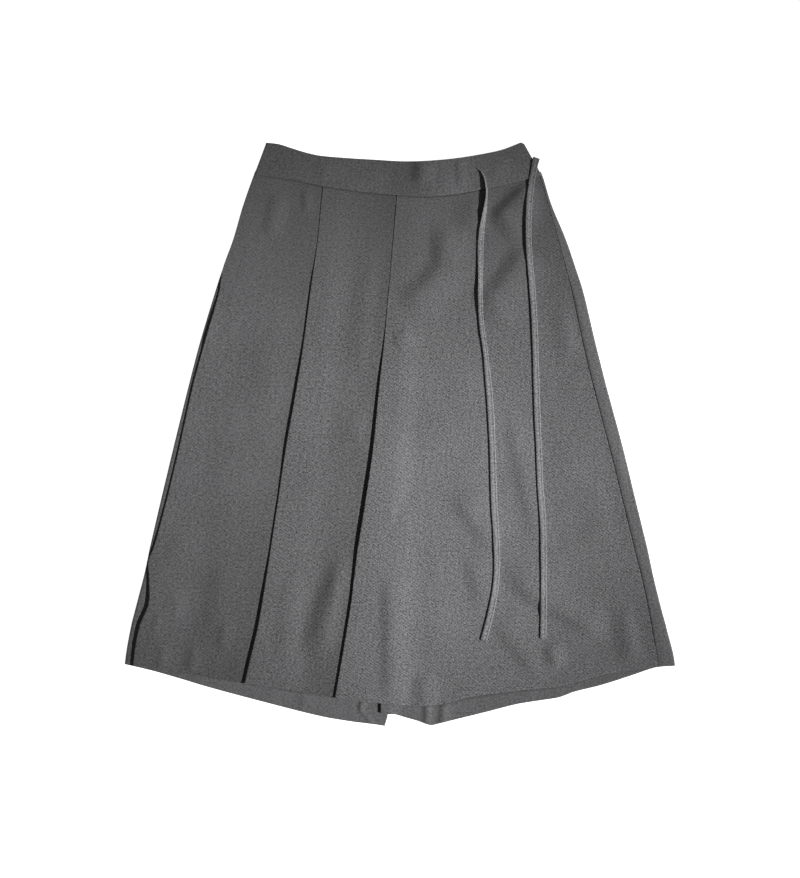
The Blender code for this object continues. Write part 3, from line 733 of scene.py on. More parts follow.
@dataclass
class NodeWeb:
    """Short ways to add the shader nodes that the cloth finishes share."""

    tree: bpy.types.NodeTree

    def uv(self) -> bpy.types.NodeSocket:
        """The piece's own UV map, in metres of flat cloth."""
        return self.tree.nodes.new("ShaderNodeTexCoord").outputs["UV"]

    def attribute(self, name: str) -> bpy.types.NodeSocket:
        """Reads a value that the piece's points carry.

        Args:
            name: The attribute's name.

        Returns:
            The value.
        """
        node = self.tree.nodes.new("ShaderNodeAttribute")
        node.attribute_name = name
        return node.outputs["Fac"]

    def object_place(self) -> bpy.types.NodeSocket:
        """The place on the piece, in metres."""
        return self.tree.nodes.new("ShaderNodeTexCoord").outputs["Object"]

    def scaled(self, vector: bpy.types.NodeSocket, scale: tuple) -> bpy.types.NodeSocket:
        """Stretches a vector.

        Args:
            vector: The vector.
            scale: The share for each axis.

        Returns:
            The stretched vector.
        """
        node = self.tree.nodes.new("ShaderNodeMapping")
        node.inputs["Scale"].default_value = scale
        self.tree.links.new(vector, node.inputs["Vector"])
        return node.outputs["Vector"]

    def turned(self, vector: bpy.types.NodeSocket, degrees: float) -> bpy.types.NodeSocket:
        """Turns a vector in the plane of the cloth.

        Args:
            vector: The vector.
            degrees: How far to turn it.

        Returns:
            The turned vector.
        """
        node = self.tree.nodes.new("ShaderNodeMapping")
        node.inputs["Rotation"].default_value = (0.0, 0.0, math.radians(degrees))
        self.tree.links.new(vector, node.inputs["Vector"])
        return node.outputs["Vector"]

    def ribs(self, vector: bpy.types.NodeSocket, pitch: float) -> bpy.types.NodeSocket:
        """Makes slightly wandering ribs across a vector's first axis.

        Args:
            vector: The vector.
            pitch: How far apart the ribs are, in the vector's unit.

        Returns:
            The ribs, from 0 to 1.
        """
        node = self.tree.nodes.new("ShaderNodeTexWave")
        node.inputs["Scale"].default_value = 2 * math.pi / WAVE_RADIANS / pitch
        node.inputs["Distortion"].default_value = 1.6
        node.inputs["Detail"].default_value = 2.0
        node.inputs["Detail Scale"].default_value = 1.3
        self.tree.links.new(vector, node.inputs["Vector"])
        return node.outputs["Fac"]

    def noise(
        self, vector: bpy.types.NodeSocket, scale: float, detail: float, rough: float
    ) -> bpy.types.NodeSocket:
        """Makes cloudy noise.

        Args:
            vector: The vector that it is spread over.
            scale: Features for each unit of the vector.
            detail: How many finer layers are added.
            rough: How strong the finer layers are.

        Returns:
            The noise, from 0 to 1.
        """
        node = self.tree.nodes.new("ShaderNodeTexNoise")
        node.inputs["Scale"].default_value = scale
        node.inputs["Detail"].default_value = detail
        node.inputs["Roughness"].default_value = rough
        self.tree.links.new(vector, node.inputs["Vector"])
        return node.outputs["Fac"]

    def split(self, vector: bpy.types.NodeSocket) -> tuple[bpy.types.NodeSocket, bpy.types.NodeSocket]:
        """Splits a vector.

        Args:
            vector: The vector.

        Returns:
            Its first and second axis.
        """
        node = self.tree.nodes.new("ShaderNodeSeparateXYZ")
        self.tree.links.new(vector, node.inputs["Vector"])
        return node.outputs["X"], node.outputs["Y"]

    def shares(self, place: bpy.types.NodeSocket, rows: tuple) -> bpy.types.NodeSocket:
        """Makes greys that follow rows of shares, smoothly in between.

        Args:
            place: The place to read them at, in mm.
            rows: Rows of (place in mm, share), from the lowest place up.

        Returns:
            The share as a grey, never above 1.
        """
        low, high = rows[0][0], rows[-1][0]
        node = self.tree.nodes.new("ShaderNodeValToRGB")
        ramp = node.color_ramp
        ramp.interpolation = "B_SPLINE"
        for _ in range(len(rows) - len(ramp.elements)):
            ramp.elements.new(0.5)
        for element, (at, share) in zip(ramp.elements, rows):
            element.position = (at - low) / (high - low)
            element.color = (share, share, share, 1.0)
        along = self.maths("DIVIDE", self.maths("SUBTRACT", place, float(low)), float(high - low))
        self.tree.links.new(along, node.inputs["Fac"])
        return node.outputs["Color"]

    def multiplied(self, first: bpy.types.NodeSocket, second: bpy.types.NodeSocket) -> bpy.types.NodeSocket:
        """Multiplies two colours.

        Args:
            first: One colour.
            second: The other.

        Returns:
            Their product.
        """
        node = self.tree.nodes.new("ShaderNodeVectorMath")
        node.operation = "MULTIPLY"
        self.tree.links.new(first, node.inputs[0])
        self.tree.links.new(second, node.inputs[1])
        return node.outputs["Vector"]

    def total(self, parts: tuple) -> bpy.types.NodeSocket:
        """Adds up patterns, each centred on zero, round a middle of 0.5.

        Args:
            parts: Pairs of a pattern from 0 to 1 and its share.

        Returns:
            The sum.
        """
        running: bpy.types.NodeSocket | float = 0.5
        for socket, share in parts:
            centred = self.maths("SUBTRACT", socket, 0.5)
            running = self.maths("ADD", self.maths("MULTIPLY", centred, share * 2), running)
        return running

    def maths(self, operation: str, first: object, second: object) -> bpy.types.NodeSocket:
        """Works on two values with one Math node.

        Args:
            operation: The node's operation.
            first: A socket or a number.
            second: A socket or a number.

        Returns:
            The result.
        """
        node = self.tree.nodes.new("ShaderNodeMath")
        node.operation = operation
        for socket, value in zip(node.inputs, (first, second)):
            if isinstance(value, (int, float)):
                socket.default_value = value
            else:
                self.tree.links.new(value, socket)
        return node.outputs["Value"]

    def grey_ramp(self, value: bpy.types.NodeSocket, tone: float, coolness: float) -> bpy.types.NodeSocket:
        """Makes greys round a middle tone.

        Args:
            value: Where on the ramp: 0.5 gives the tone itself.
            tone: The middle tone.
            coolness: How far the grey leans to blue.

        Returns:
            The grey.
        """
        node = self.tree.nodes.new("ShaderNodeValToRGB")
        ramp = node.color_ramp
        ramp.elements[0].position = 0.0
        ramp.elements[1].position = 1.0
        for element, factor in zip(ramp.elements, (0.1, 1.9)):
            grey = tone * factor
            red = grey * (1 - coolness / 2)
            element.color = (red, red, grey * (1 + coolness), 1.0)
        self.tree.links.new(value, node.inputs["Fac"])
        return node.outputs["Color"]

    def bump(self, height: bpy.types.NodeSocket, distance: float) -> bpy.types.NodeSocket:
        """Makes a bumped normal.

        Args:
            height: The bumps' height, from 0 to 1.
            distance: How far out a height of 1 stands, in metres.

        Returns:
            The normal.
        """
        node = self.tree.nodes.new("ShaderNodeBump")
        node.inputs["Strength"].default_value = 0.6
        node.inputs["Distance"].default_value = distance
        self.tree.links.new(height, node.inputs["Height"])
        return node.outputs["Normal"]


# Shares are of the grain, or of the painted light and shade, by place in mm. One above 1 only lifts the
# curve beside it, as the curve itself stops at 1.
TOP_GRAIN = ((-330, 1.05), (60, 1.06), (160, 0.95), (240, 0.62), (330, 0.6))
# The gores are one twill: their tones differ, and their rows of painted light and shade lighten and darken
# them, to paint how light falls on each. The band's row paints light and shade across the band.
RIGHT_GORE_FINISH = TwillFinish(
    "twill_right_gore", 0.128, fleck_tone=0.42, fibre_tone=0.42, rib_tone=0.03, grain_down=TOP_GRAIN,
    painted_shading_down=((-330, 0.84), (-160, 0.9), (-40, 1.0), (100, 1.0), (330, 0.9)),
    painted_shading_across=((-275, 1.02), (-225, 0.98), (-190, 0.86), (-120, 0.76)),
)
MIDDLE_GORE_FINISH = TwillFinish(
    "twill_middle_gore", 0.120, fleck_tone=0.46, fibre_tone=0.6, rib_tone=0.04, grain_down=TOP_GRAIN,
    painted_shading_down=((-330, 0.92), (-100, 0.97), (60, 1.0), (330, 0.86)),
    painted_shading_across=((-150, 1.06), (-95, 0.98), (-50, 0.8), (20, 0.66)),
)
LEFT_GORE_FINISH = TwillFinish(
    "twill_left_gore", 0.141, fibre_tone=0.68, rib_tone=0.075, grain_down=TOP_GRAIN,
    painted_shading_down=((-340, 1.08), (-260, 0.98), (-60, 1.02), (60, 0.96), (160, 0.83), (240, 0.8), (330, 0.96)),
    painted_shading_across=((-40, 0.86), (0, 0.94), (30, 1.02), (120, 1.0), (340, 0.88)),
)
LEG_FINISH = TwillFinish("twill_legs", 0.125, fleck_tone=0.3, fibre_tone=0.4, rib_tone=0.05)
WRAP_FINISH = TwillFinish("twill_back", 0.150, fleck_tone=0.32, fibre_tone=0.44, grain_down=TOP_GRAIN)
BAND_FINISH = TwillFinish(
    "twill_band", 0.176, rib_tone=0.02, fleck_tone=0.36, fibre_tone=0.34,
    painted_shading_across=((-180, 0.66), (-24, 0.66), (14, 0.58), (38, 0.68), (66, 1.0), (100, 0.74), (170, 0.86)),
)
TIE_FINISH = TwillFinish("twill_ties", 0.192, rib_tone=0.04, fleck_tone=0.4, fibre_tone=0.5)
THREAD_FINISH = ThreadFinish("sewing_thread", 0.1)


@dataclass(frozen=True)
class FlatCut:
    """The size that a piece was cut to, in metres."""

    width: float
    length: float
    area: float

    @classmethod
    def of(cls, middle: Array) -> "FlatCut":
        """Measures the middle of a wall, folds and turnings opened out.

        Args:
            middle: Places in rows down the piece and columns across it.

        Returns:
            Its greatest width and length, and its area.
        """
        across = np.linalg.norm(np.diff(middle, axis=1), axis=2).sum(axis=1)
        down = np.linalg.norm(np.diff(middle, axis=0), axis=2).sum(axis=0)
        one = np.cross(middle[1:, :-1] - middle[:-1, :-1], middle[:-1, 1:] - middle[:-1, :-1])
        two = np.cross(middle[1:, :-1] - middle[1:, 1:], middle[:-1, 1:] - middle[1:, 1:])
        area = 0.5 * (np.linalg.norm(one, axis=2).sum() + np.linalg.norm(two, axis=2).sum())
        width, length = float(across.max()), float(down.max())
        return cls(round(width, 3), round(length, 3), round(min(float(area), width * length), 4))


def grid_normals(middle: Array) -> Array:
    """Works out which way a grid of places faces.

    Args:
        middle: Places in rows down the piece and columns across it.

    Returns:
        A unit normal for each place.
    """
    down = np.gradient(middle, axis=0)
    across = np.gradient(middle, axis=1)
    normal = np.cross(down, across)
    return normal / np.maximum(np.linalg.norm(normal, axis=2, keepdims=True), 1e-12)


def mesh_object(
    name: str, points: Array, faces: list, uv: Array, finish: bpy.types.Material,
    painted_shade: Array | float = 0.0,
) -> bpy.types.Object:
    """A smooth mesh object with a UV map and outward faces.

    Args:
        name: The piece's name.
        points: Its points, in metres.
        faces: Corner numbers of each face.
        uv: A UV for each point, in metres of flat cloth.
        finish: Its material.
        painted_shade: Painted shade, how much the cloth's colour is darkened at each point, from 0 to 1.

    Returns:
        The object, linked to the scene.
    """
    mesh = bpy.data.meshes.new(name)
    mesh.from_pydata(points.tolist(), [], faces)
    mesh.validate()
    # The painted shade rides on the points, for the material to darken the colour by
    shade = mesh.attributes.new(PAINTED_SHADE, "FLOAT", "POINT")
    shade.data.foreach_set("value", np.broadcast_to(painted_shade, len(points)).astype(np.float32))
    corners = np.empty(len(mesh.loops), np.int32)
    mesh.loops.foreach_get("vertex_index", corners)
    layer = mesh.uv_layers.new(name="flat_cloth")
    layer.data.foreach_set("uv", uv[corners].astype(np.float32).ravel())
    mesh.calc_loop_triangles()
    triangles = np.array([triangle.vertices for triangle in mesh.loop_triangles])
    if np.linalg.det(points[triangles]).sum() < 0:
        mesh.flip_normals()
    mesh.shade_smooth()
    mesh.materials.append(finish)
    piece = bpy.data.objects.new(name, mesh)
    bpy.context.scene.collection.objects.link(piece)
    return piece


def closed_form(outer: Array, inner: Array) -> tuple[Array, list]:
    """Joins two grids of places, one for each face of a wall, round their rim.

    Args:
        outer: Places of the outer face, in rows and columns.
        inner: Places of the inner face.

    Returns:
        All points, the outer face's first, and the corner numbers of each face.
    """
    rows, columns = outer.shape[:2]
    count = rows * columns
    index = np.arange(count).reshape(rows, columns)
    quads = np.stack([index[:-1, :-1], index[:-1, 1:], index[1:, 1:], index[1:, :-1]], axis=-1)
    quads = quads.reshape(-1, 4)
    around = np.concatenate([index[0], index[1:, -1], index[-1, -2::-1], index[-2:0:-1, 0]])
    after = np.roll(around, -1)
    rim = np.stack([around, around + count, after + count, after], axis=-1)
    faces = np.concatenate([quads, quads[:, ::-1] + count, rim])
    return np.concatenate([outer.reshape(-1, 3), inner.reshape(-1, 3)]), faces.tolist()


def cloth_shell(
    name: str, middle: Array, uv: Array, fullness: Array, finish: TwillFinish, painted_shade: Array | float = 0.0
) -> bpy.types.Object:
    """A closed thin wall on both sides of a grid of places.

    Args:
        name: The piece's name.
        middle: The wall's middle, in rows down the piece and columns across it.
        uv: A UV for each place.
        fullness: Share of the full thickness at each place, small at the rims, which rounds them.
        finish: The cloth.
        painted_shade: Painted shade, how much the cloth's colour is darkened at each place, from 0 to 1.

    Returns:
        The shell object.
    """
    half = grid_normals(middle) * (0.5 * CLOTH * fullness)[..., None]
    points, faces = closed_form(middle + half, middle - half)
    both = np.concatenate([uv.reshape(-1, 2), uv.reshape(-1, 2)])
    shade = np.broadcast_to(painted_shade, middle.shape[:2]).ravel()
    shade = np.concatenate([shade, shade])
    return mesh_object(name, points, faces, both, finish.material(), shade)


def hand_over(piece: bpy.types.Object, nodes: tuple[str, ...]) -> None:
    """Lets a piece ride on the garment's body and stand for its solids, and logs it.

    Args:
        piece: The finished object.
        nodes: The solids that it stands for, if any.
    """
    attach(piece, BODY)
    if nodes:
        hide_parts(*nodes)
    size = ", ".join(f"{side / MM:.1f}" for side in piece.dimensions)
    LOG.info("%s: %d faces, %s mm, for %s", piece.name, len(piece.data.polygons), size, nodes or "no solid")


def declare_sheet(piece: bpy.types.Object, cut: FlatCut) -> None:
    """Logs the size that a piece of cloth was cut to.

    Args:
        piece: The finished object.
        cut: The size that it was cut to.
    """
    LOG.info("%s: cut %.3f by %.3f m, %.4f square metres", piece.name, cut.width, cut.length, cut.area)


@dataclass
class Hem:
    """A turned-up hem: how deep it is, how far its upper edge shows, and how round its fold is."""

    depth: float = 29.0 * MM
    edge: float = 3.0 * MM
    rise: float = 0.32 * MM
    roll: float = 2.2 * MM
    roll_drop: float = 0.25 * MM

    def height(self, from_hem: Array) -> Array:
        """Works out how the turned-up cloth raises the face, and the fold rolls it down.

        Args:
            from_hem: The distance from the hem's fold.

        Returns:
            The height there, less than zero in the fold's roll.
        """
        turned = self.rise * eased((from_hem - self.depth) / self.edge)
        rolled = self.roll_drop * eased(from_hem / self.roll)
        return turned - rolled


@dataclass
class Rows:
    """Places down a piece: a few tucked under the waistband, even ones, and close ones at the hem."""

    length: float = 610.0 * MM
    step: float = 3.2 * MM
    near: float = 44.0 * MM
    near_step: float = 1.8 * MM
    tuck: tuple[float, ...] = (-3.4, -1.6, 0.0, 0.8, 1.8, 3.2, 5.0)
    fold: tuple[float, ...] = (5.0, 3.2, 2.0, 1.1, 0.5, 0.0)
    hem_round: float = 1.0 * MM

    def shares(self) -> Array:
        """Spreads the rows.

        Returns:
            The share of the way down of each row, less than 0 under the waistband.
        """
        tuck = np.array(self.tuck) * MM / self.length
        fold = 1 - np.array(self.fold) * MM / self.length
        near = 1 - self.near / self.length
        steps = round((near - tuck[-1]) * self.length / self.step)
        near_steps = round((fold[0] - near) * self.length / self.near_step)
        even = np.linspace(tuck[-1], near, steps + 1)
        return np.concatenate([tuck[:-1], even, np.linspace(near, fold[0], near_steps + 1)[1:], fold[1:]])

    def fullness(self, shares: Array) -> Array:
        """Share of the wall's thickness at each row: round at the hem's fold."""
        from_hem = np.clip((1 - shares) * self.length / self.hem_round, 0.0, 1.0)
        return np.sqrt(np.clip(1 - (1 - from_hem) ** 2, LEAST_HEM, 1.0))


def rim_fullness(from_rim: Array, round_over: float = 0.9 * MM) -> Array:
    """Share of a wall's thickness near a cut or pressed edge."""
    t = np.clip(from_rim / round_over, 0.0, 1.0)
    return np.sqrt(np.clip(1 - (1 - t) ** 2, LEAST_RIM, 1.0))


@dataclass
class SeamDip:
    """How cloth dips into the seam where it is joined to its neighbour."""

    depth: float = 0.5 * MM
    reach: float = 3.5 * MM

    def at(self, away: Array) -> Array:
        """The dip at a distance from the seam."""
        return self.depth * eased(np.abs(away) / self.reach)


@dataclass
class Gore:
    """One overskirt gore: its top ply, its folded edge at the left, and the return ply under that edge."""

    name: str
    panel: Panel
    depth: Callable[[Array], Array]
    folds_under: int
    extends: Callable[[Array], Array] | None
    creases: tuple[Crease, ...]
    finish: TwillFinish
    puff: float
    edge_rise: SmoothCurve
    pressing: SmoothCurve
    thinning: SmoothCurve
    rests_on: tuple[str, ...]
    over_leg: bool = False
    columns: int = 56
    tightness: float = 0.7
    fold_steps: int = 8
    return_steps: int = 7
    extension_steps: int = 5
    rows: Rows = field(default_factory=Rows)
    hem: Hem = field(default_factory=Hem)
    waist_dip: SeamDip = field(default_factory=lambda: SeamDip(0.25 * MM, 4.5 * MM))
    side_dip: SeamDip = field(default_factory=lambda: SeamDip(0.25 * MM, 16.0 * MM))
    edge_spread: float = 46.0 * MM

    def ply(self, share: Array) -> Array:
        """Height of one ply: least where the pleats are pressed and sewn down near the waist."""
        return PLY * self.pressing.at(share)

    def lift(self, offset: Array, share: Array) -> Array:
        """Works out how the top ply lies on what is under it.

        Args:
            offset: How far in from the folded edge.
            share: How far down, from 0 at the waist seam to 1 at the hem.

        Returns:
            Height of the ply's middle.
        """
        x, y = self.panel.point(offset, share)
        inwards = offset - self.depth(share) - PLEAT_REST
        outwards = self.panel.width(share) - offset
        raised = self.folds_under * self.ply(share) * eased(inwards / PLEAT_SLOPE)
        if self.over_leg:
            raised = np.maximum(raised, leg_cover(x, y))
        fade = (1 - eased(outwards / FOLD_FADE)) * (1 - eased(share / WAIST_FADE))
        ridges = fade * relief(self.creases, x, y)
        edge = MM * self.edge_rise.at(share) * eased(offset / self.edge_spread)
        edge = edge * (1 - eased(share / EDGE_RISE_FADE))
        sewn = self.hem.height(y - self.panel.hem(x)) - self.waist_dip.at(self.panel.top(x) - y)
        if self.over_leg:
            sewn = sewn - self.side_dip.at(outwards) * seam_opening(share)
        full = self.fullness(inwards, outwards, share)
        return OVERSKIRT_LAYER + raised + full + ridges + edge + sewn + common_lie(x, y)

    def fullness(self, inwards: Array, outwards: Array, share: Array) -> Array:
        """Works out how the gore puffs up in its middle.

        Args:
            inwards: How far in from the fold's return.
            outwards: How far in from the other side.
            share: How far down, from 0 at the waist seam to 1 at the hem.

        Returns:
            Height of the puff at each place.
        """
        spread = np.maximum(inwards + outwards, TINY)
        fallen = np.clip(share - PUFF_FULL_AT, 0.0, 1.0) / (1 - PUFF_FULL_AT)
        down = (1 - eased(share / PUFF_FULL_AT)) * between(1.0, PUFF_HEM, fallen)
        across = np.sin(math.pi * np.clip(inwards / spread, 0.0, 1.0)) ** 2
        return self.puff * across * down

    def grid(self) -> tuple[Array, Array, Array]:
        """Lays the wall out, from its hidden far end over the top ply and round to the return's end.

        Returns:
            The wall's middle, a UV for each place, and the share of the full thickness there.
        """
        share = self.rows.shares()[:, None]
        width = self.panel.width(share)
        depth = self.depth(share)
        across = square_start(ends_close(self.columns, self.tightness)[::-1])[None, :]
        offsets = [FOLD_RADIUS + (width - FOLD_RADIUS) * across]
        if self.extends:
            beyond = np.linspace(1.0, 0.0, self.extension_steps + 1)[None, :-1]
            offsets.insert(0, width + self.extends(share) * beyond)
        top = np.concatenate(offsets, axis=1)
        angle = math.pi / 2 + math.pi * np.arange(1, self.fold_steps) / self.fold_steps
        turn = FOLD_RADIUS * (1 + np.cos(angle))[None, :] + 0 * share
        inside = depth - FOLD_RADIUS
        back = FOLD_RADIUS + inside * np.linspace(0.0, 1.0, self.return_steps + 1)[None, :]
        plan = np.concatenate([top, turn, back], axis=1)
        x, y = self.panel.point(plan, share + 0 * plan)
        z = self.lift(np.maximum(plan, FOLD_RADIUS), share + 0 * plan)
        first, second = top.shape[1], top.shape[1] + turn.shape[1]
        drop = np.zeros(plan.shape)
        drop[:, first:second] = FOLD_RADIUS * (1 - np.sin(angle))[None, :]
        drop[:, second:] = 2 * FOLD_RADIUS
        z = z - drop * (self.ply(share) / PLY)
        round_fold = FOLD_RADIUS * (math.pi / 2 - angle)[None, :] + FOLD_RADIUS + 0 * share
        under = FOLD_RADIUS * (1 - math.pi) - (back - FOLD_RADIUS)
        along = np.concatenate([top, round_fold, under], axis=1)
        uv = np.stack([self.panel.left(0.0) + along, y], axis=-1)
        from_end = plan[:, :1] - plan
        rim = rim_fullness(np.where(from_end >= 0, from_end, FAR_INSIDE))
        if self.over_leg:
            rim = between(1.0, rim, seam_opening(share))
        is_return = np.arange(plan.shape[1]) >= second
        rim = np.minimum(rim, rim_fullness(np.where(is_return, depth - plan, FAR_INSIDE)))
        fullness = self.rows.fullness(share) * rim * self.thinning.at(share)
        return np.stack([x, y, z], axis=-1), uv, fullness

    def build(self) -> None:
        """Makes the gore's shell and logs its cut."""
        middle, uv, fullness = self.grid()
        # Painted shade in the hollow under the waistband's seam
        painted_shade = waist_painted_shade(middle[..., 0], middle[..., 1])
        piece = cloth_shell(f"{self.name}_cloth", middle, uv, fullness, self.finish, painted_shade)
        hand_over(piece, (self.name,))
        declare_sheet(piece, FlatCut.of(middle))

    def top_at(self, x: Array, y: Array) -> Array:
        """Works out how high the gore's outer face is under a tie.

        Args:
            x: X of the places, in metres.
            y: Y of the places, in metres.

        Returns:
            Height of the face at each place.
        """
        share = np.zeros(np.shape(x))
        for _ in range(TRIES):
            offset = x - self.panel.sides(share)[0]
            miss = self.panel.point(offset, share)[1] - y
            share = np.clip(share + miss / self.rows.length, 0.0, 1.0)
        offset = np.minimum(x - self.panel.sides(share)[0], self.panel.width(share))
        return self.lift(offset, share) + CLOTH / 2


@dataclass
class LegPanel:
    """A flat front or back panel of a short leg. The left leg's inner edge lies on the right leg."""

    name: str
    panel: Panel
    layer: float
    rests_on: tuple[str, ...]
    creases: tuple[Crease, ...] = ()
    is_front: bool = True
    is_left: bool = False
    outer_bend: float = 0.0
    bend_reach: float = 4.0 * MM
    hem_share: float = 0.6
    columns: int = 52
    tightness: float = 0.4
    rows: Rows = field(default_factory=lambda: Rows(step=6.0 * MM))
    hem: Hem = field(default_factory=Hem)

    def build(self) -> None:
        """Makes the panel's shell, its outer edge bent to meet the other panel, and logs its cut."""
        share = self.rows.shares()[:, None]
        width = self.panel.width(share)
        offset = width * ends_close(self.columns, self.tightness)[None, :]
        share = share + 0 * offset
        x, y = self.panel.point(offset, share)
        z = self.layer + common_lie(x, y) + self.outer_bend * eased(offset / self.bend_reach)
        if self.is_left:
            z = z + leg_lift(x, y)
        if self.is_front:
            from_inner = offset if self.is_left else width - offset
            shown = (1 - eased(share / WAIST_FADE)) * (1 - eased(from_inner / EDGE_FADE))
            z = z + shown * relief(self.creases, x, y)
            z = z + self.hem_share * self.hem.height(y - self.panel.hem(x))
        middle = np.stack([x, y, z], axis=-1)
        uv = np.stack([x, y], axis=-1)
        fullness = self.rows.fullness(share) * rim_fullness(np.minimum(offset, width - offset))
        # Painted shade on the legs in the hollow under the overskirt's hem
        piece = cloth_shell(f"{self.name}_cloth", middle, uv, fullness, LEG_FINISH, hem_painted_shade(x, y))
        hand_over(piece, (self.name,))
        declare_sheet(piece, FlatCut.of(middle))


@dataclass
class LeftBackLeg:
    """The left leg's back panel: it folds round the outer edge and comes forward to the side seam."""

    name: str
    panel: Panel
    creases: tuple[Crease, ...]
    rests_on: tuple[str, ...]
    strip_steps: int = 9
    fold_steps: int = 10
    under_steps: int = 50
    tightness: float = 0.6
    rows: Rows = field(default_factory=lambda: Rows(step=4.0 * MM))
    hem: Hem = field(default_factory=Hem)
    seam_dip: SeamDip = field(default_factory=lambda: SeamDip(0.5 * MM, 1.6 * MM))
    stands: float = 0.25 * MM
    stands_reach: float = 9.0 * MM
    crease_from_seam: float = 6.0 * MM
    crease_from_fold: float = 4.0 * MM

    def forward(self, share: Array, bend: Array) -> Array:
        """Finds how far the panel comes forward from its outer bend.

        Args:
            share: How far down each row is.
            bend: Where the bend begins in each row, in from the inner edge.

        Returns:
            The way from there to the side seam.
        """
        forward = np.zeros(share.shape)
        for _ in range(TRIES):
            x, y = self.panel.point(bend - forward, share)
            forward = forward + x - DRAFT.x("side_seam", y) - SEAM_SHOWN / 2
        return forward

    def strip_height(self, x: Array, y: Array, strip: Array, opening: Array) -> Array:
        """Works out how the strip beside the side seam lies, without the whole garment's lie.

        Args:
            x: X of the strip's places.
            y: Y of the strip's places.
            strip: How far in from the panel's inner edge they are.
            opening: How far the side seam has opened there.

        Returns:
            Height of the strip's middle.
        """
        from_seam = strip - strip[:, :1]
        from_fold = strip[:, -1:] - strip
        ridges = relief(self.creases, x, y) * (1 - eased(from_seam / self.crease_from_seam))
        ridges = ridges * (1 - eased(from_fold / self.crease_from_fold))
        rolled = self.hem.height(y - self.panel.hem(x))
        level = self.stands * (1 - eased(from_fold / self.stands_reach)) * opening
        return OVERSKIRT_LAYER + level + ridges + rolled - self.seam_dip.at(from_seam) * opening

    def build(self) -> None:
        """Makes the panel's shell, from the side seam round the outer edge to the inner edge."""
        share = self.rows.shares()[:, None]
        bend = self.panel.width(share) - SIDE_FOLD_RADIUS
        forward = self.forward(share, bend)
        across = square_start(ends_close(self.strip_steps, self.tightness))[None, :]
        strip = bend - forward + forward * across
        angle = math.pi / 2 - math.pi * np.arange(1, self.fold_steps) / self.fold_steps
        turn = bend + SIDE_FOLD_RADIUS * np.cos(angle)[None, :]
        under = bend * (1 - ends_close(self.under_steps, self.tightness))[None, :]
        plan = np.concatenate([strip, turn, under], axis=1)
        share = share + 0 * plan
        x, y = self.panel.point(plan, share)
        first, second = strip.shape[1], strip.shape[1] + turn.shape[1]
        opening = seam_opening(share)
        z = np.empty(plan.shape)
        z[:, :first] = self.strip_height(x[:, :first], y[:, :first], strip, opening[:, :first])
        z[:, first:second] = BACK_LAYER + SIDE_FOLD_RADIUS * (1 + np.sin(angle))[None, :]
        z[:, second:] = BACK_LAYER + leg_lift(x[:, second:], y[:, second:])
        middle = np.stack([x, y, z + common_lie(x, y)], axis=-1)
        round_fold = SIDE_FOLD_RADIUS * (math.pi / 2 - angle)[None, :] + 0 * bend
        along = np.concatenate([strip - bend, round_fold, SIDE_FOLD_RADIUS * math.pi + bend - under], axis=1)
        from_seam = along - along[:, :1]
        fullness = self.rows.fullness(share) * rim_fullness(along[:, -1:] - along)
        fullness = fullness * between(1.0, rim_fullness(from_seam), opening)
        # Painted shade on the strip beside the side seam
        painted_shade = SEAM_PAINTED_SHADE * eased(from_seam / SEAM_PAINTED_SHADE_REACH) * opening
        uv = np.stack([along, y], axis=-1)
        piece = cloth_shell(f"{self.name}_cloth", middle, uv, fullness, WRAP_FINISH, painted_shade)
        hand_over(piece, (self.name,))
        declare_sheet(piece, FlatCut.of(middle))


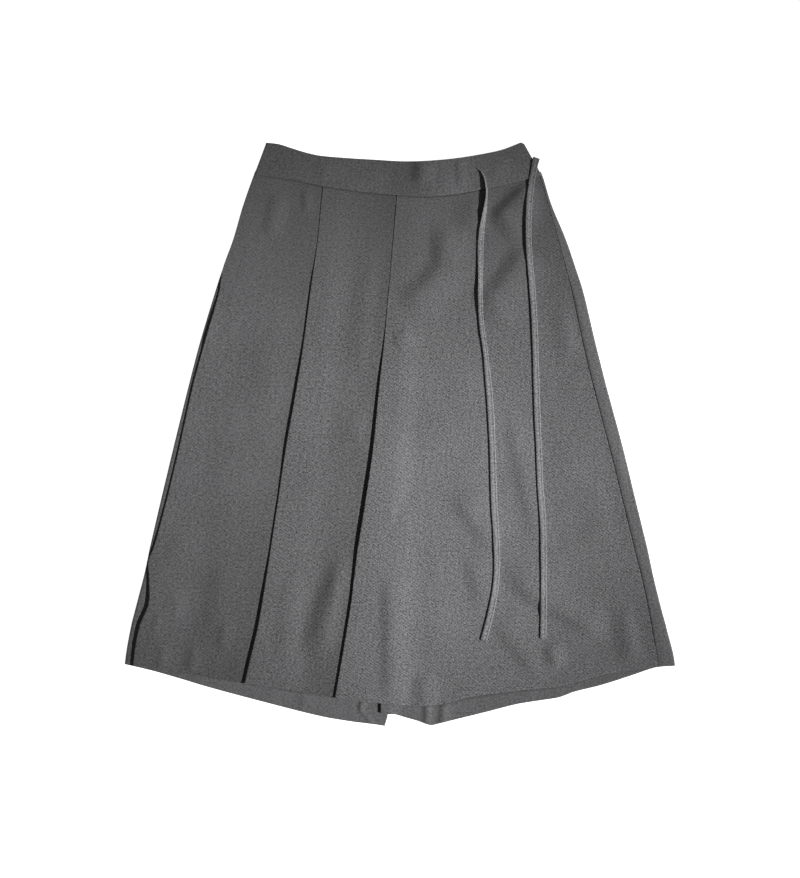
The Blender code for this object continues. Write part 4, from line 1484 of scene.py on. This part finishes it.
@dataclass
class Waistband:
    """One stretch of waistband: pressed cloth turned over at the top edge and sewn down at the seam.

    `start` and `end` give X at the seam and at the top edge.
    """

    name: str
    start: tuple[float, float]
    end: tuple[float, float]
    layer: float
    is_front: bool
    rests_on: tuple[str, ...]
    round_start: bool = True
    round_end: bool = True
    step: float = 2.6 * MM
    tightness: float = 0.5
    rise_steps: int = 18
    rise_tightness: float = 0.93
    edge_round: float = 1.3 * MM
    seam_round: float = 1.2 * MM
    head_lift: float = 0.6 * MM
    head_left: float = 12.0 * MM
    head_right: float = 46.0 * MM
    head_fade: float = 0.9

    def heads(self, x: Array) -> Array:
        """Works out how the band rises over the heads of the pleats under its seam.

        Args:
            x: X of the places, in metres.

        Returns:
            How far the band is raised there.
        """
        raised = np.zeros(np.shape(x))
        for name in ("pleat_one", "pleat_two"):
            head = DRAFT.x(name, WAIST_SEAM[0][1] * MM)
            inwards = (x - head - PLEAT_DEPTH_WAIST - PLEAT_REST) / self.head_right
            outwards = (head - x) / self.head_left
            raised = np.maximum(raised, self.head_lift * eased(inwards) * eased(outwards))
        return raised

    def places_along(self) -> Array:
        """Spreads the columns of places, closer together near both ends.

        Returns:
            The share of the way along of each.
        """
        shares = ends_close(math.ceil((self.end[0] - self.start[0]) / self.step), self.tightness)
        if not self.round_start:
            shares = square_start(shares)
        if not self.round_end:
            shares = square_start(shares[::-1])[::-1]
        return shares

    def build(self) -> None:
        """Makes the stretch as a closed flat tube, round at its top edge and pressed thin at its seam."""
        along = self.places_along()[:, None]
        up = ends_close(self.rise_steps, self.rise_tightness)[None, :]
        x_seam = between(self.start[0], self.end[0], along)
        x_top = between(self.start[1], self.end[1], along)
        y_seam = DRAFT.edge_y(DRAFT.waist_seam, x_seam) - (BAND_OVERLAP if self.is_front else 0.0)
        y_top = DRAFT.edge_y(DRAFT.band_top, x_top)
        x = between(x_seam, x_top, up)
        y = between(y_seam, y_top, up)
        height = float(np.mean(y_top - y_seam))
        length = self.end[0] - self.start[0]
        from_start = along if self.round_start else 1.0
        from_end = 1 - along if self.round_end else 1.0
        top_round = rim_fullness((1 - up) * height, self.edge_round)
        round_off = top_round * rim_fullness(up * height, self.seam_round)
        round_off = round_off * rim_fullness(np.minimum(from_start, from_end) * length, self.seam_round)
        half = (BAND_FRONT_CLOTH if self.is_front else BAND_CLOTH) / 2
        outer = half * round_off
        inner = half * (round_off if self.is_front else top_round)
        if self.is_front:
            outer = outer + self.heads(x_seam) * eased(up * self.head_fade) * round_off
            outer = outer + relief(BAND_CREASES, x, y) * round_off
        face_out = np.stack([x, y, self.layer + outer], axis=-1)
        face_in = np.stack([x, y, self.layer - inner + 0 * x], axis=-1)
        points, faces = closed_form(face_out, face_in)
        flat = np.stack([self.start[0] + along * length + 0 * up, up * height + 0 * along], axis=-1)
        uv = np.concatenate([flat.reshape(-1, 2), flat.reshape(-1, 2)])
        piece = mesh_object(f"{self.name}_cloth", points, faces, uv, BAND_FINISH.material())
        hand_over(piece, (self.name,))
        declare_sheet(piece, FlatCut.of(face_out))


@dataclass
class StitchRun:
    """A row of stitches along a path, made by Geometry Nodes."""

    name: str
    spacing: float = 2.9 * MM
    length: float = 2.3 * MM
    thickness: float = 0.42 * MM
    seed: int = 7
    segments: int = 8
    rings: int = 6
    least: tuple[float, float, float] = (0.86, 0.9, 0.9)
    most: tuple[float, float, float] = (1.08, 1.1, 1.1)

    def tree(self) -> bpy.types.NodeTree:
        """Builds the node tree, with named inputs for the stitches' sizes.

        Returns:
            The tree: it turns a path into stitches that vary a little in size.
        """
        tree = bpy.data.node_groups.new(f"{self.name}_stitches", "GeometryNodeTree")
        face = tree.interface
        face.new_socket("Path", in_out="INPUT", socket_type="NodeSocketGeometry")
        for label in ("Spacing", "Stitch length", "Thread thickness"):
            face.new_socket(label, in_out="INPUT", socket_type="NodeSocketFloat")
        face.new_socket("Seed", in_out="INPUT", socket_type="NodeSocketInt")
        face.new_socket("Thread", in_out="INPUT", socket_type="NodeSocketMaterial")
        face.new_socket("Stitches", in_out="OUTPUT", socket_type="NodeSocketGeometry")
        nodes, link = tree.nodes, tree.links.new
        given = nodes.new("NodeGroupInput")
        result = nodes.new("NodeGroupOutput")
        curve = nodes.new("GeometryNodeMeshToCurve")
        spread = nodes.new("GeometryNodeResampleCurve")
        spread.mode = "LENGTH"
        tangent = nodes.new("GeometryNodeInputTangent")
        aim = nodes.new("FunctionNodeAlignRotationToVector")
        aim.axis = "X"
        size = nodes.new("ShaderNodeCombineXYZ")
        ball = nodes.new("GeometryNodeMeshUVSphere")
        ball.inputs["Segments"].default_value = self.segments
        ball.inputs["Rings"].default_value = self.rings
        ball.inputs["Radius"].default_value = 0.5
        shape = nodes.new("GeometryNodeTransform")
        vary = nodes.new("FunctionNodeRandomValue")
        vary.data_type = "FLOAT_VECTOR"
        vary.inputs["Min"].default_value = self.least
        vary.inputs["Max"].default_value = self.most
        place = nodes.new("GeometryNodeInstanceOnPoints")
        real = nodes.new("GeometryNodeRealizeInstances")
        dress = nodes.new("GeometryNodeSetMaterial")
        smooth = nodes.new("GeometryNodeSetShadeSmooth")
        link(given.outputs["Path"], curve.inputs["Mesh"])
        link(curve.outputs["Curve"], spread.inputs["Curve"])
        link(given.outputs["Spacing"], spread.inputs["Length"])
        link(tangent.outputs["Tangent"], aim.inputs["Vector"])
        link(given.outputs["Stitch length"], size.inputs["X"])
        link(given.outputs["Thread thickness"], size.inputs["Y"])
        link(given.outputs["Thread thickness"], size.inputs["Z"])
        link(ball.outputs["Mesh"], shape.inputs["Geometry"])
        link(size.outputs["Vector"], shape.inputs["Scale"])
        link(given.outputs["Seed"], vary.inputs["Seed"])
        link(spread.outputs["Curve"], place.inputs["Points"])
        link(shape.outputs["Geometry"], place.inputs["Instance"])
        link(aim.outputs["Rotation"], place.inputs["Rotation"])
        link(vary.outputs["Value"], place.inputs["Scale"])
        link(place.outputs["Instances"], real.inputs["Geometry"])
        link(real.outputs["Geometry"], smooth.inputs["Geometry"])
        link(smooth.outputs["Geometry"], dress.inputs["Geometry"])
        link(given.outputs["Thread"], dress.inputs["Material"])
        link(dress.outputs["Geometry"], result.inputs["Stitches"])
        return tree

    def along(self, path: Array, finish: bpy.types.Material) -> bpy.types.Object:
        """Makes the stitches on a path.

        Args:
            path: Points that the thread follows, in metres.
            finish: The thread's material.

        Returns:
            A plain mesh object of all the stitches.
        """
        guide_mesh = bpy.data.meshes.new(f"{self.name}_guide")
        edges = [(i, i + 1) for i in range(len(path) - 1)]
        guide_mesh.from_pydata(path.tolist(), edges, [])
        guide = bpy.data.objects.new(f"{self.name}_guide", guide_mesh)
        bpy.context.scene.collection.objects.link(guide)
        modifier = guide.modifiers.new("stitches", "NODES")
        tree = self.tree()
        modifier.node_group = tree
        values = {
            "Spacing": self.spacing,
            "Stitch length": self.length,
            "Thread thickness": self.thickness,
            "Seed": self.seed,
            "Thread": finish,
        }
        for item in tree.interface.items_tree:
            if item.in_out == "INPUT" and item.name in values:
                modifier[item.identifier] = values[item.name]
        graph = bpy.context.evaluated_depsgraph_get()
        mesh = bpy.data.meshes.new_from_object(guide.evaluated_get(graph))
        guide.modifiers.remove(modifier)
        bpy.data.objects.remove(guide, do_unlink=True)
        stitches = bpy.data.objects.new(self.name, mesh)
        bpy.context.scene.collection.objects.link(stitches)
        return stitches


@dataclass
class Tie:
    """A narrow turned strap on the garment's face, with a sunken row of stitches along one edge."""

    name: str
    route: tuple[tuple[float, float, float, float], ...]
    widths: tuple[tuple[float, float], ...]
    step: float = 2.4 * MM
    around: int = 30
    squareness: float = 2.8
    groove_at: float = -1.4 * MM
    groove_depth: float = 0.6 * MM
    groove_width: float = 0.9 * MM
    stitch_level: float = 0.4
    end_round: float = 1.2 * MM
    end_narrowing: float = 0.15
    swell: tuple[tuple[float, float, float], ...] = ((0.025, 21.0 * MM, 0.0), (0.02, 8.3 * MM, 1.0))
    clearance: float = 0.1 * MM
    drape: float = 11.0 * MM
    bridging: float = 0.35
    slope_reach: int = 5
    band_ease: float = 20.0 * MM
    path_every: int = 4

    def rows(self, step: float) -> Array:
        """Follows the route on a smooth curve.

        Args:
            step: How far apart the rows are.

        Returns:
            Rows of the route's columns: across, down, rise and turn.
        """
        route = np.array(self.route, float)
        along = np.concatenate([[0.0], np.cumsum(MM * np.hypot(*np.diff(route[:, :2], axis=0).T))])
        places = np.linspace(0.0, along[-1], round(along[-1] / step) + 1)
        columns = [SmoothCurve(list(zip(along, column))).at(places) for column in route.T]
        return np.stack(columns, axis=-1)

    def under(self, gore: Gore, x: Array, y: Array) -> Array:
        """Works out how high the outer face under the strap is: the band's, or the gore's.

        Args:
            gore: The gore that the strap lies on.
            x: X of the places, in metres.
            y: Y of the places, in metres.

        Returns:
            Height of the face at each place.
        """
        cloth_top = gore.top_at(x, y)
        band_top = np.maximum(BAND_FRONT_LAYER + BAND_FRONT_CLOTH / 2, cloth_top)
        below_seam = DRAFT.edge_y(DRAFT.waist_seam, x) - y
        return between(cloth_top, band_top, eased(below_seam / self.band_ease))

    def centreline(self, gore: Gore) -> tuple[Array, Array]:
        """Lays the strap's middle line over the cloth, bridging short hollows.

        Args:
            gore: The gore that it lies on.

        Returns:
            Points in metres, and at each how far the strap is turned on its edge, in radians.
        """
        across, down, rise, turn = self.rows(self.step).T
        x, y = across * MM, down * MM
        sides = np.array([-0.5, -0.25, 0.0, 0.25, 0.5]) * TIE_WIDTH
        ground = np.array([self.under(gore, x + side, y) for side in sides])
        slope = self.softened((ground[-1] - ground[0]) / TIE_WIDTH, self.slope_reach)
        lie = np.max(ground - sides[:, None] * slope, axis=0)
        reach = max(1, round(self.drape / 2 / self.step))
        padded = np.pad(lie, reach, mode="edge")
        high = np.max([padded[i:i + len(lie)] for i in range(2 * reach + 1)], axis=0)
        soft = self.softened(between(lie, high, self.bridging), reach)
        z = np.maximum(soft, lie) + self.clearance + TIE_THICKNESS / 2 + rise * MM
        return np.stack([x, y, z], axis=-1), np.radians(turn) - np.arctan(slope)

    def softened(self, values: Array, reach: int) -> Array:
        """Values along the strap, each the mean of those within `reach` steps of it."""
        padded = np.pad(values, reach, mode="edge")
        return np.mean([padded[i:i + len(values)] for i in range(2 * reach + 1)], axis=0)

    def directions(self, middle: Array, turn: Array) -> tuple[Array, Array]:
        """Works out which way the strap's flat and its face lie.

        Args:
            middle: The middle line.
            turn: How far the strap is turned on its edge, in radians.

        Returns:
            Unit vectors across the strap, and out of its face.
        """
        tangent = np.gradient(middle, axis=0)
        tangent /= np.linalg.norm(tangent, axis=1, keepdims=True)
        side = np.cross(tangent, (0.0, 0.0, 1.0))
        side /= np.linalg.norm(side, axis=1, keepdims=True)
        up = np.cross(side, tangent)
        wide = side * np.cos(turn)[:, None] + up * np.sin(turn)[:, None]
        return wide, np.cross(wide, tangent)

    def section(self) -> tuple[Array, Array]:
        """Draws the strap's section, a flat rounded bar with a groove in both faces.

        Returns:
            The places across the strap, and out of its face.
        """
        angle = 2 * math.pi * (np.arange(self.around) + 0.5) / self.around
        power = 2 / self.squareness
        across = np.sign(np.cos(angle)) * np.abs(np.cos(angle)) ** power * TIE_WIDTH / 2
        out = np.sign(np.sin(angle)) * np.abs(np.sin(angle)) ** power * TIE_THICKNESS / 2
        groove = self.groove_depth * eased(np.abs(across - self.groove_at) / self.groove_width)
        return across, out - np.sign(out) * groove

    def build(self, gore: Gore, thread: bpy.types.Material) -> None:
        """Args:
            gore: The gore that the strap lies on.
            thread: The stitches' material.
        """
        middle, turn = self.centreline(gore)
        wide, high = self.directions(middle, turn)
        section_x, section_z = self.section()
        along = np.concatenate([[0.0], np.cumsum(np.linalg.norm(np.diff(middle, axis=0), axis=1))])
        from_end = np.clip(np.minimum(along, along[-1] - along) / self.end_round, 0, 1)
        squash = np.sqrt(np.clip(1 - (1 - from_end) ** 2, LEAST_END, 1.0))
        breathe = 1 + sum(share * np.sin(along / wave + phase) for share, wave, phase in self.swell)
        wide_share = SmoothCurve(list(self.widths)).at(middle[:, 1] / MM)
        ring_share = wide_share * breathe * (1 - self.end_narrowing * (1 - squash))
        ring_x = section_x[None, :] * ring_share[:, None]
        ring_z = section_z[None, :] * squash[:, None]
        points = middle[:, None] + wide[:, None] * ring_x[..., None] + high[:, None] * ring_z[..., None]
        piece = self.tube(points, along, ring_x)
        stitch_height = self.stitch_level * TIE_THICKNESS - self.groove_depth
        stitch_path = middle + wide * (self.groove_at * wide_share)[:, None] + high * stitch_height
        stitches = StitchRun(f"{self.name}_edge_stitches").along(stitch_path[1:-1], thread)
        hand_over(piece, (self.name,))
        hand_over(stitches, ())

    def tube(self, points: Array, along: Array, ring_x: Array) -> bpy.types.Object:
        """Makes the strap's mesh, with an end cap at either end.

        Args:
            points: Rings of points.
            along: How far along the strap each ring is.
            ring_x: How far across the strap each point is.

        Returns:
            The strap, with UVs along it.
        """
        rows, around = points.shape[:2]
        index = np.arange(rows * around).reshape(rows, around)
        after = np.roll(index, -1, axis=1)
        quads = np.stack([index[:-1], after[:-1], after[1:], index[1:]], axis=-1).reshape(-1, 4).tolist()
        faces = quads + [index[0][::-1].tolist(), index[-1].tolist()]
        uv = np.stack([ring_x, along[:, None] + 0 * ring_x], axis=-1).reshape(-1, 2)
        return mesh_object(f"{self.name}_strap", points.reshape(-1, 3), faces, uv, TIE_FINISH.material())


@dataclass
class Overskirt:
    """The three gores, each lying on the extension of the gore to its right."""

    right_puff: float = 0.3 * MM
    middle_puff: float = 0.2 * MM
    left_puff: float = 1.0 * MM
    right_columns: int = 50
    middle_columns: int = 46
    left_columns: int = 116

    def right(self) -> Gore:
        """Drafts the right gore.

        Returns:
            The gore, whose outer edge is turned under and stands up a little near the hem.
        """
        return Gore(
            name="overskirt_right_gore",
            panel=Panel(DRAFT.line("fold_edge"), DRAFT.line("pleat_one"), OVERSKIRT_HEM),
            depth=turning_depth,
            folds_under=1,
            extends=pleat_depth,
            creases=RIGHT_GORE_CREASES,
            finish=RIGHT_GORE_FINISH,
            puff=self.right_puff,
            edge_rise=SmoothCurve([(0.0, 0.0), (0.8, 0.0), (0.88, 0.9), (1.0, 0.2)]),
            pressing=SmoothCurve([(0.0, 0.38), (0.4, 0.4), (0.78, 0.45), (0.88, 0.9), (1.0, 0.75)]),
            thinning=SmoothCurve(
                [(0.0, 0.28), (0.25, 0.32), (0.4, 0.55), (0.78, 0.6), (0.88, 0.9), (1.0, 0.9)]
            ),
            rests_on=("shorts_front_right",),
            columns=self.right_columns,
        )

    def middle(self) -> Gore:
        """Drafts the middle gore.

        Returns:
            The gore between the two knife pleats.
        """
        return Gore(
            name="overskirt_middle_gore",
            panel=Panel(DRAFT.line("pleat_one"), DRAFT.line("pleat_two"), OVERSKIRT_HEM),
            depth=pleat_depth,
            folds_under=2,
            extends=pleat_depth,
            creases=MIDDLE_GORE_CREASES,
            finish=MIDDLE_GORE_FINISH,
            puff=self.middle_puff,
            edge_rise=SmoothCurve([(0.0, 0.0), (0.7, 0.0), (0.85, 0.4), (1.0, 0.5)]),
            pressing=SmoothCurve(
                [(0.0, 0.22), (0.13, 0.24), (0.2, 0.54), (0.74, 0.58), (0.86, 0.9), (1.0, 0.95)]
            ),
            thinning=SmoothCurve(
                [(0.0, 0.28), (0.25, 0.32), (0.36, 0.72), (0.74, 0.76), (0.86, 1.0), (1.0, 1.0)]
            ),
            rests_on=("shorts_front_right",),
            columns=self.middle_columns,
        )

    def left(self) -> Gore:
        """Drafts the left gore.

        Returns:
            The gore that is sewn in at the left side seam and carries both ties.
        """
        return Gore(
            name="overskirt_left_gore",
            panel=Panel(DRAFT.line("pleat_two"), DRAFT.line("side_seam", -SEAM_SHOWN / 2), OVERSKIRT_HEM),
            depth=pleat_depth,
            folds_under=2,
            extends=None,
            creases=LEFT_GORE_CREASES,
            finish=LEFT_GORE_FINISH,
            puff=self.left_puff,
            edge_rise=SmoothCurve(
                [(0.0, 0.0), (0.35, 0.0), (0.48, 0.6), (0.62, 1.0), (0.78, 0.3), (1.0, 0.0)]
            ),
            pressing=SmoothCurve([(0.0, 0.22), (0.25, 0.26), (0.37, 0.78), (0.6, 0.86), (1.0, 0.8)]),
            thinning=SmoothCurve([(0.0, 0.28), (0.25, 0.32), (0.37, 1.0), (1.0, 1.0)]),
            rests_on=("shorts_front_left", "shorts_front_right"),
            over_leg=True,
            columns=self.left_columns,
        )


@dataclass
class Shorts:
    """The two short legs, front and back, under the overskirt."""

    outer_bend: float = 0.28 * PLY
    back_bend_share: float = 0.4
    right_back_shorter: float = 1.5 * MM
    left_back_longer: float = 0.2 * MM
    right_front_columns: int = 150
    left_front_columns: int = 130

    def build(self) -> None:
        """Makes the four panels.

        The right back's hem ends a little higher than the front's, out of sight. The left back's ends a hair
        lower, as its strip shows at the side.
        """
        inner_right = DRAFT.line("inner_right", -SEAM_GAP / 2)
        inner_left = DRAFT.line("inner_left", SEAM_GAP / 2)
        outer_right = DRAFT.line("edge_right")
        LegPanel(
            name="shorts_back_right",
            panel=Panel(outer_right, inner_right, RIGHT_LEG_HEM, self.right_back_shorter),
            layer=BACK_LAYER,
            rests_on=("floor",),
            is_front=False,
            outer_bend=self.outer_bend * self.back_bend_share,
        ).build()
        LegPanel(
            name="shorts_front_right",
            panel=Panel(outer_right, inner_right, RIGHT_LEG_HEM),
            layer=LEG_FRONT_LAYER,
            rests_on=("shorts_back_right",),
            creases=RIGHT_LEG_CREASES,
            outer_bend=-self.outer_bend,
            columns=self.right_front_columns,
        ).build()
        LeftBackLeg(
            name="shorts_back_left",
            panel=Panel(inner_left, DRAFT.line("edge_left"), LEFT_LEG_HEM, -self.left_back_longer),
            creases=WRAP_CREASES,
            rests_on=("floor",),
        ).build()
        LegPanel(
            name="shorts_front_left",
            panel=Panel(inner_left, DRAFT.line("side_seam", -SEAM_GAP / 2), LEFT_LEG_HEM),
            layer=LEG_FRONT_LAYER,
            rests_on=("shorts_back_left",),
            creases=LEFT_LEG_CREASES,
            is_left=True,
            columns=self.left_front_columns,
        ).build()


@dataclass
class BandAllRound:
    """The waistband: its back, and its front in two stretches that meet at the joint by the front tie."""

    joint_at: float = 85.2 * MM
    joint_gap: float = 0.06 * MM
    side_ease: float = 0.3 * MM

    def build(self) -> None:
        """Makes the three stretches."""
        right_x = float(DRAFT.x("edge_right", WAIST_SEAM[0][1] * MM)) + self.side_ease
        left_x = float(DRAFT.x("edge_left", WAIST_SEAM[-1][1] * MM)) - self.side_ease
        right_end = (right_x, BAND_TOP[0][0] * MM)
        left_end = (left_x, BAND_TOP[-1][0] * MM)
        before_joint = (self.joint_at - self.joint_gap / 2,) * 2
        after_joint = (self.joint_at + self.joint_gap / 2,) * 2
        Waistband(
            name="waistband_back",
            start=right_end,
            end=left_end,
            layer=BAND_BACK_LAYER,
            is_front=False,
            rests_on=("floor",),
        ).build()
        Waistband(
            name="waistband_front_right",
            start=right_end,
            end=before_joint,
            layer=BAND_FRONT_LAYER,
            is_front=True,
            rests_on=("waistband_back",),
            round_end=False,
        ).build()
        Waistband(
            name="waistband_front_left",
            start=after_joint,
            end=left_end,
            layer=BAND_FRONT_LAYER,
            is_front=True,
            rests_on=("waistband_back",),
            round_start=False,
        ).build()


@dataclass
class Studio:
    """The camera above the table, the light from the wearer's left, and the pale table itself."""

    key_elevation: float = 31.0
    key_azimuth: float = -7.0
    key_distance: float = 6.0
    key_power: float = 3250.0
    key_radius: float = 0.16
    key_aim: tuple[float, float] = (-20.0 * MM, -50.0 * MM)
    beam_radius: float = 570.0 * MM
    fill: float = 0.085
    fill_from: float = 0.12
    horizon: float = 0.9
    horizon_to: float = 0.04
    floor_half: float = 12.0
    floor_tone: float = 0.9
    floor_glow: float = 0.95
    far_clip: float = 60.0

    def camera(self) -> None:
        """Sets the camera straight above, so that it takes in the photographed frame."""
        data = bpy.data.cameras.new("camera")
        data.sensor_fit = "HORIZONTAL"
        data.sensor_width = SENSOR_WIDTH
        data.lens = SENSOR_WIDTH * VIEW_DISTANCE / (IMAGE_WIDTH * PIXEL)
        data.clip_end = self.far_clip
        camera = bpy.data.objects.new("camera", data)
        camera.location = (0.0, VIEW_CENTRE_Y, VIEW_DISTANCE)
        bpy.context.scene.collection.objects.link(camera)
        bpy.context.scene.camera = camera

    def key_light(self) -> None:
        """Sets a far soft-edged spotlight low over the wearer's left side."""
        rise, turn = math.radians(self.key_elevation), math.radians(self.key_azimuth)
        data = bpy.data.lights.new("key", "SPOT")
        data.energy = self.key_power
        data.shadow_soft_size = self.key_radius
        data.spot_size = 2 * math.atan(self.beam_radius / self.key_distance)
        data.spot_blend = 1.0
        key = bpy.data.objects.new("key", data)
        level = self.key_distance * math.cos(rise)
        key.location = (
            self.key_aim[0] + level * math.cos(turn),
            self.key_aim[1] + level * math.sin(turn),
            self.key_distance * math.sin(rise),
        )
        key.rotation_euler = (0.0, math.pi / 2 - rise, turn)
        key.scale = (math.sin(rise), 1.0, 1.0)
        bpy.context.scene.collection.objects.link(key)

    def room_light(self) -> None:
        """Sets a faint even fill from above, and a pale room round the horizon."""
        world = bpy.data.worlds.new("studio")
        bpy.context.scene.world = world
        world.use_nodes = True
        tree = world.node_tree
        place = tree.nodes.new("ShaderNodeTexCoord")
        split = tree.nodes.new("ShaderNodeSeparateXYZ")
        ramp = tree.nodes.new("ShaderNodeValToRGB")
        levels = ((self.horizon_to, self.horizon), (self.fill_from, self.fill))
        for element, (height, tone) in zip(ramp.color_ramp.elements, levels):
            element.position = height
            element.color = (tone, tone, tone, 1.0)
        tree.links.new(place.outputs["Generated"], split.inputs["Vector"])
        tree.links.new(split.outputs["Z"], ramp.inputs["Fac"])
        tree.links.new(ramp.outputs["Color"], tree.nodes["Background"].inputs["Color"])

    def floor(self) -> None:
        """Lays a plain pale table top, evenly lit from within, so that no shadow greys it."""
        material = bpy.data.materials.new("pale_table")
        material.use_nodes = True
        shader = material.node_tree.nodes["Principled BSDF"]
        shader.inputs["Base Color"].default_value = (self.floor_tone,) * 3 + (1.0,)
        shader.inputs["Roughness"].default_value = 0.9
        shader.inputs["Emission Color"].default_value = (1.0, 1.0, 1.0, 1.0)
        shader.inputs["Emission Strength"].default_value = self.floor_glow
        mesh = bpy.data.meshes.new("floor")
        reach = self.floor_half
        corners = [(-reach, -reach, 0.0), (reach, -reach, 0.0), (reach, reach, 0.0), (-reach, reach, 0.0)]
        mesh.from_pydata(corners, [], [(0, 1, 2, 3)])
        mesh.materials.append(material)
        floor = bpy.data.objects.new("floor", mesh)
        bpy.context.scene.collection.objects.link(floor)

    def build(self) -> None:
        """Sets up the whole studio."""
        self.camera()
        self.key_light()
        self.room_light()
        self.floor()
        bpy.context.scene.view_settings.view_transform = "Standard"


def main() -> None:
    """Builds the studio, the ties and then the cloth, piece by piece."""
    logging.basicConfig(level=logging.INFO, format="%(name)s: %(message)s")
    Studio().build()
    overskirt = Overskirt()
    gores = (overskirt.right(), overskirt.middle(), overskirt.left())
    thread = THREAD_FINISH.material()
    Tie("tie_front", TIE_FRONT_ROUTE, TIE_FRONT_WIDTHS).build(gores[-1], thread)
    Tie("tie_side", TIE_SIDE_ROUTE, TIE_SIDE_WIDTHS).build(gores[-1], thread)
    for gore in gores:
        gore.build()
    Shorts().build()
    BandAllRound().build()


if __name__ == "__main__":
    main()
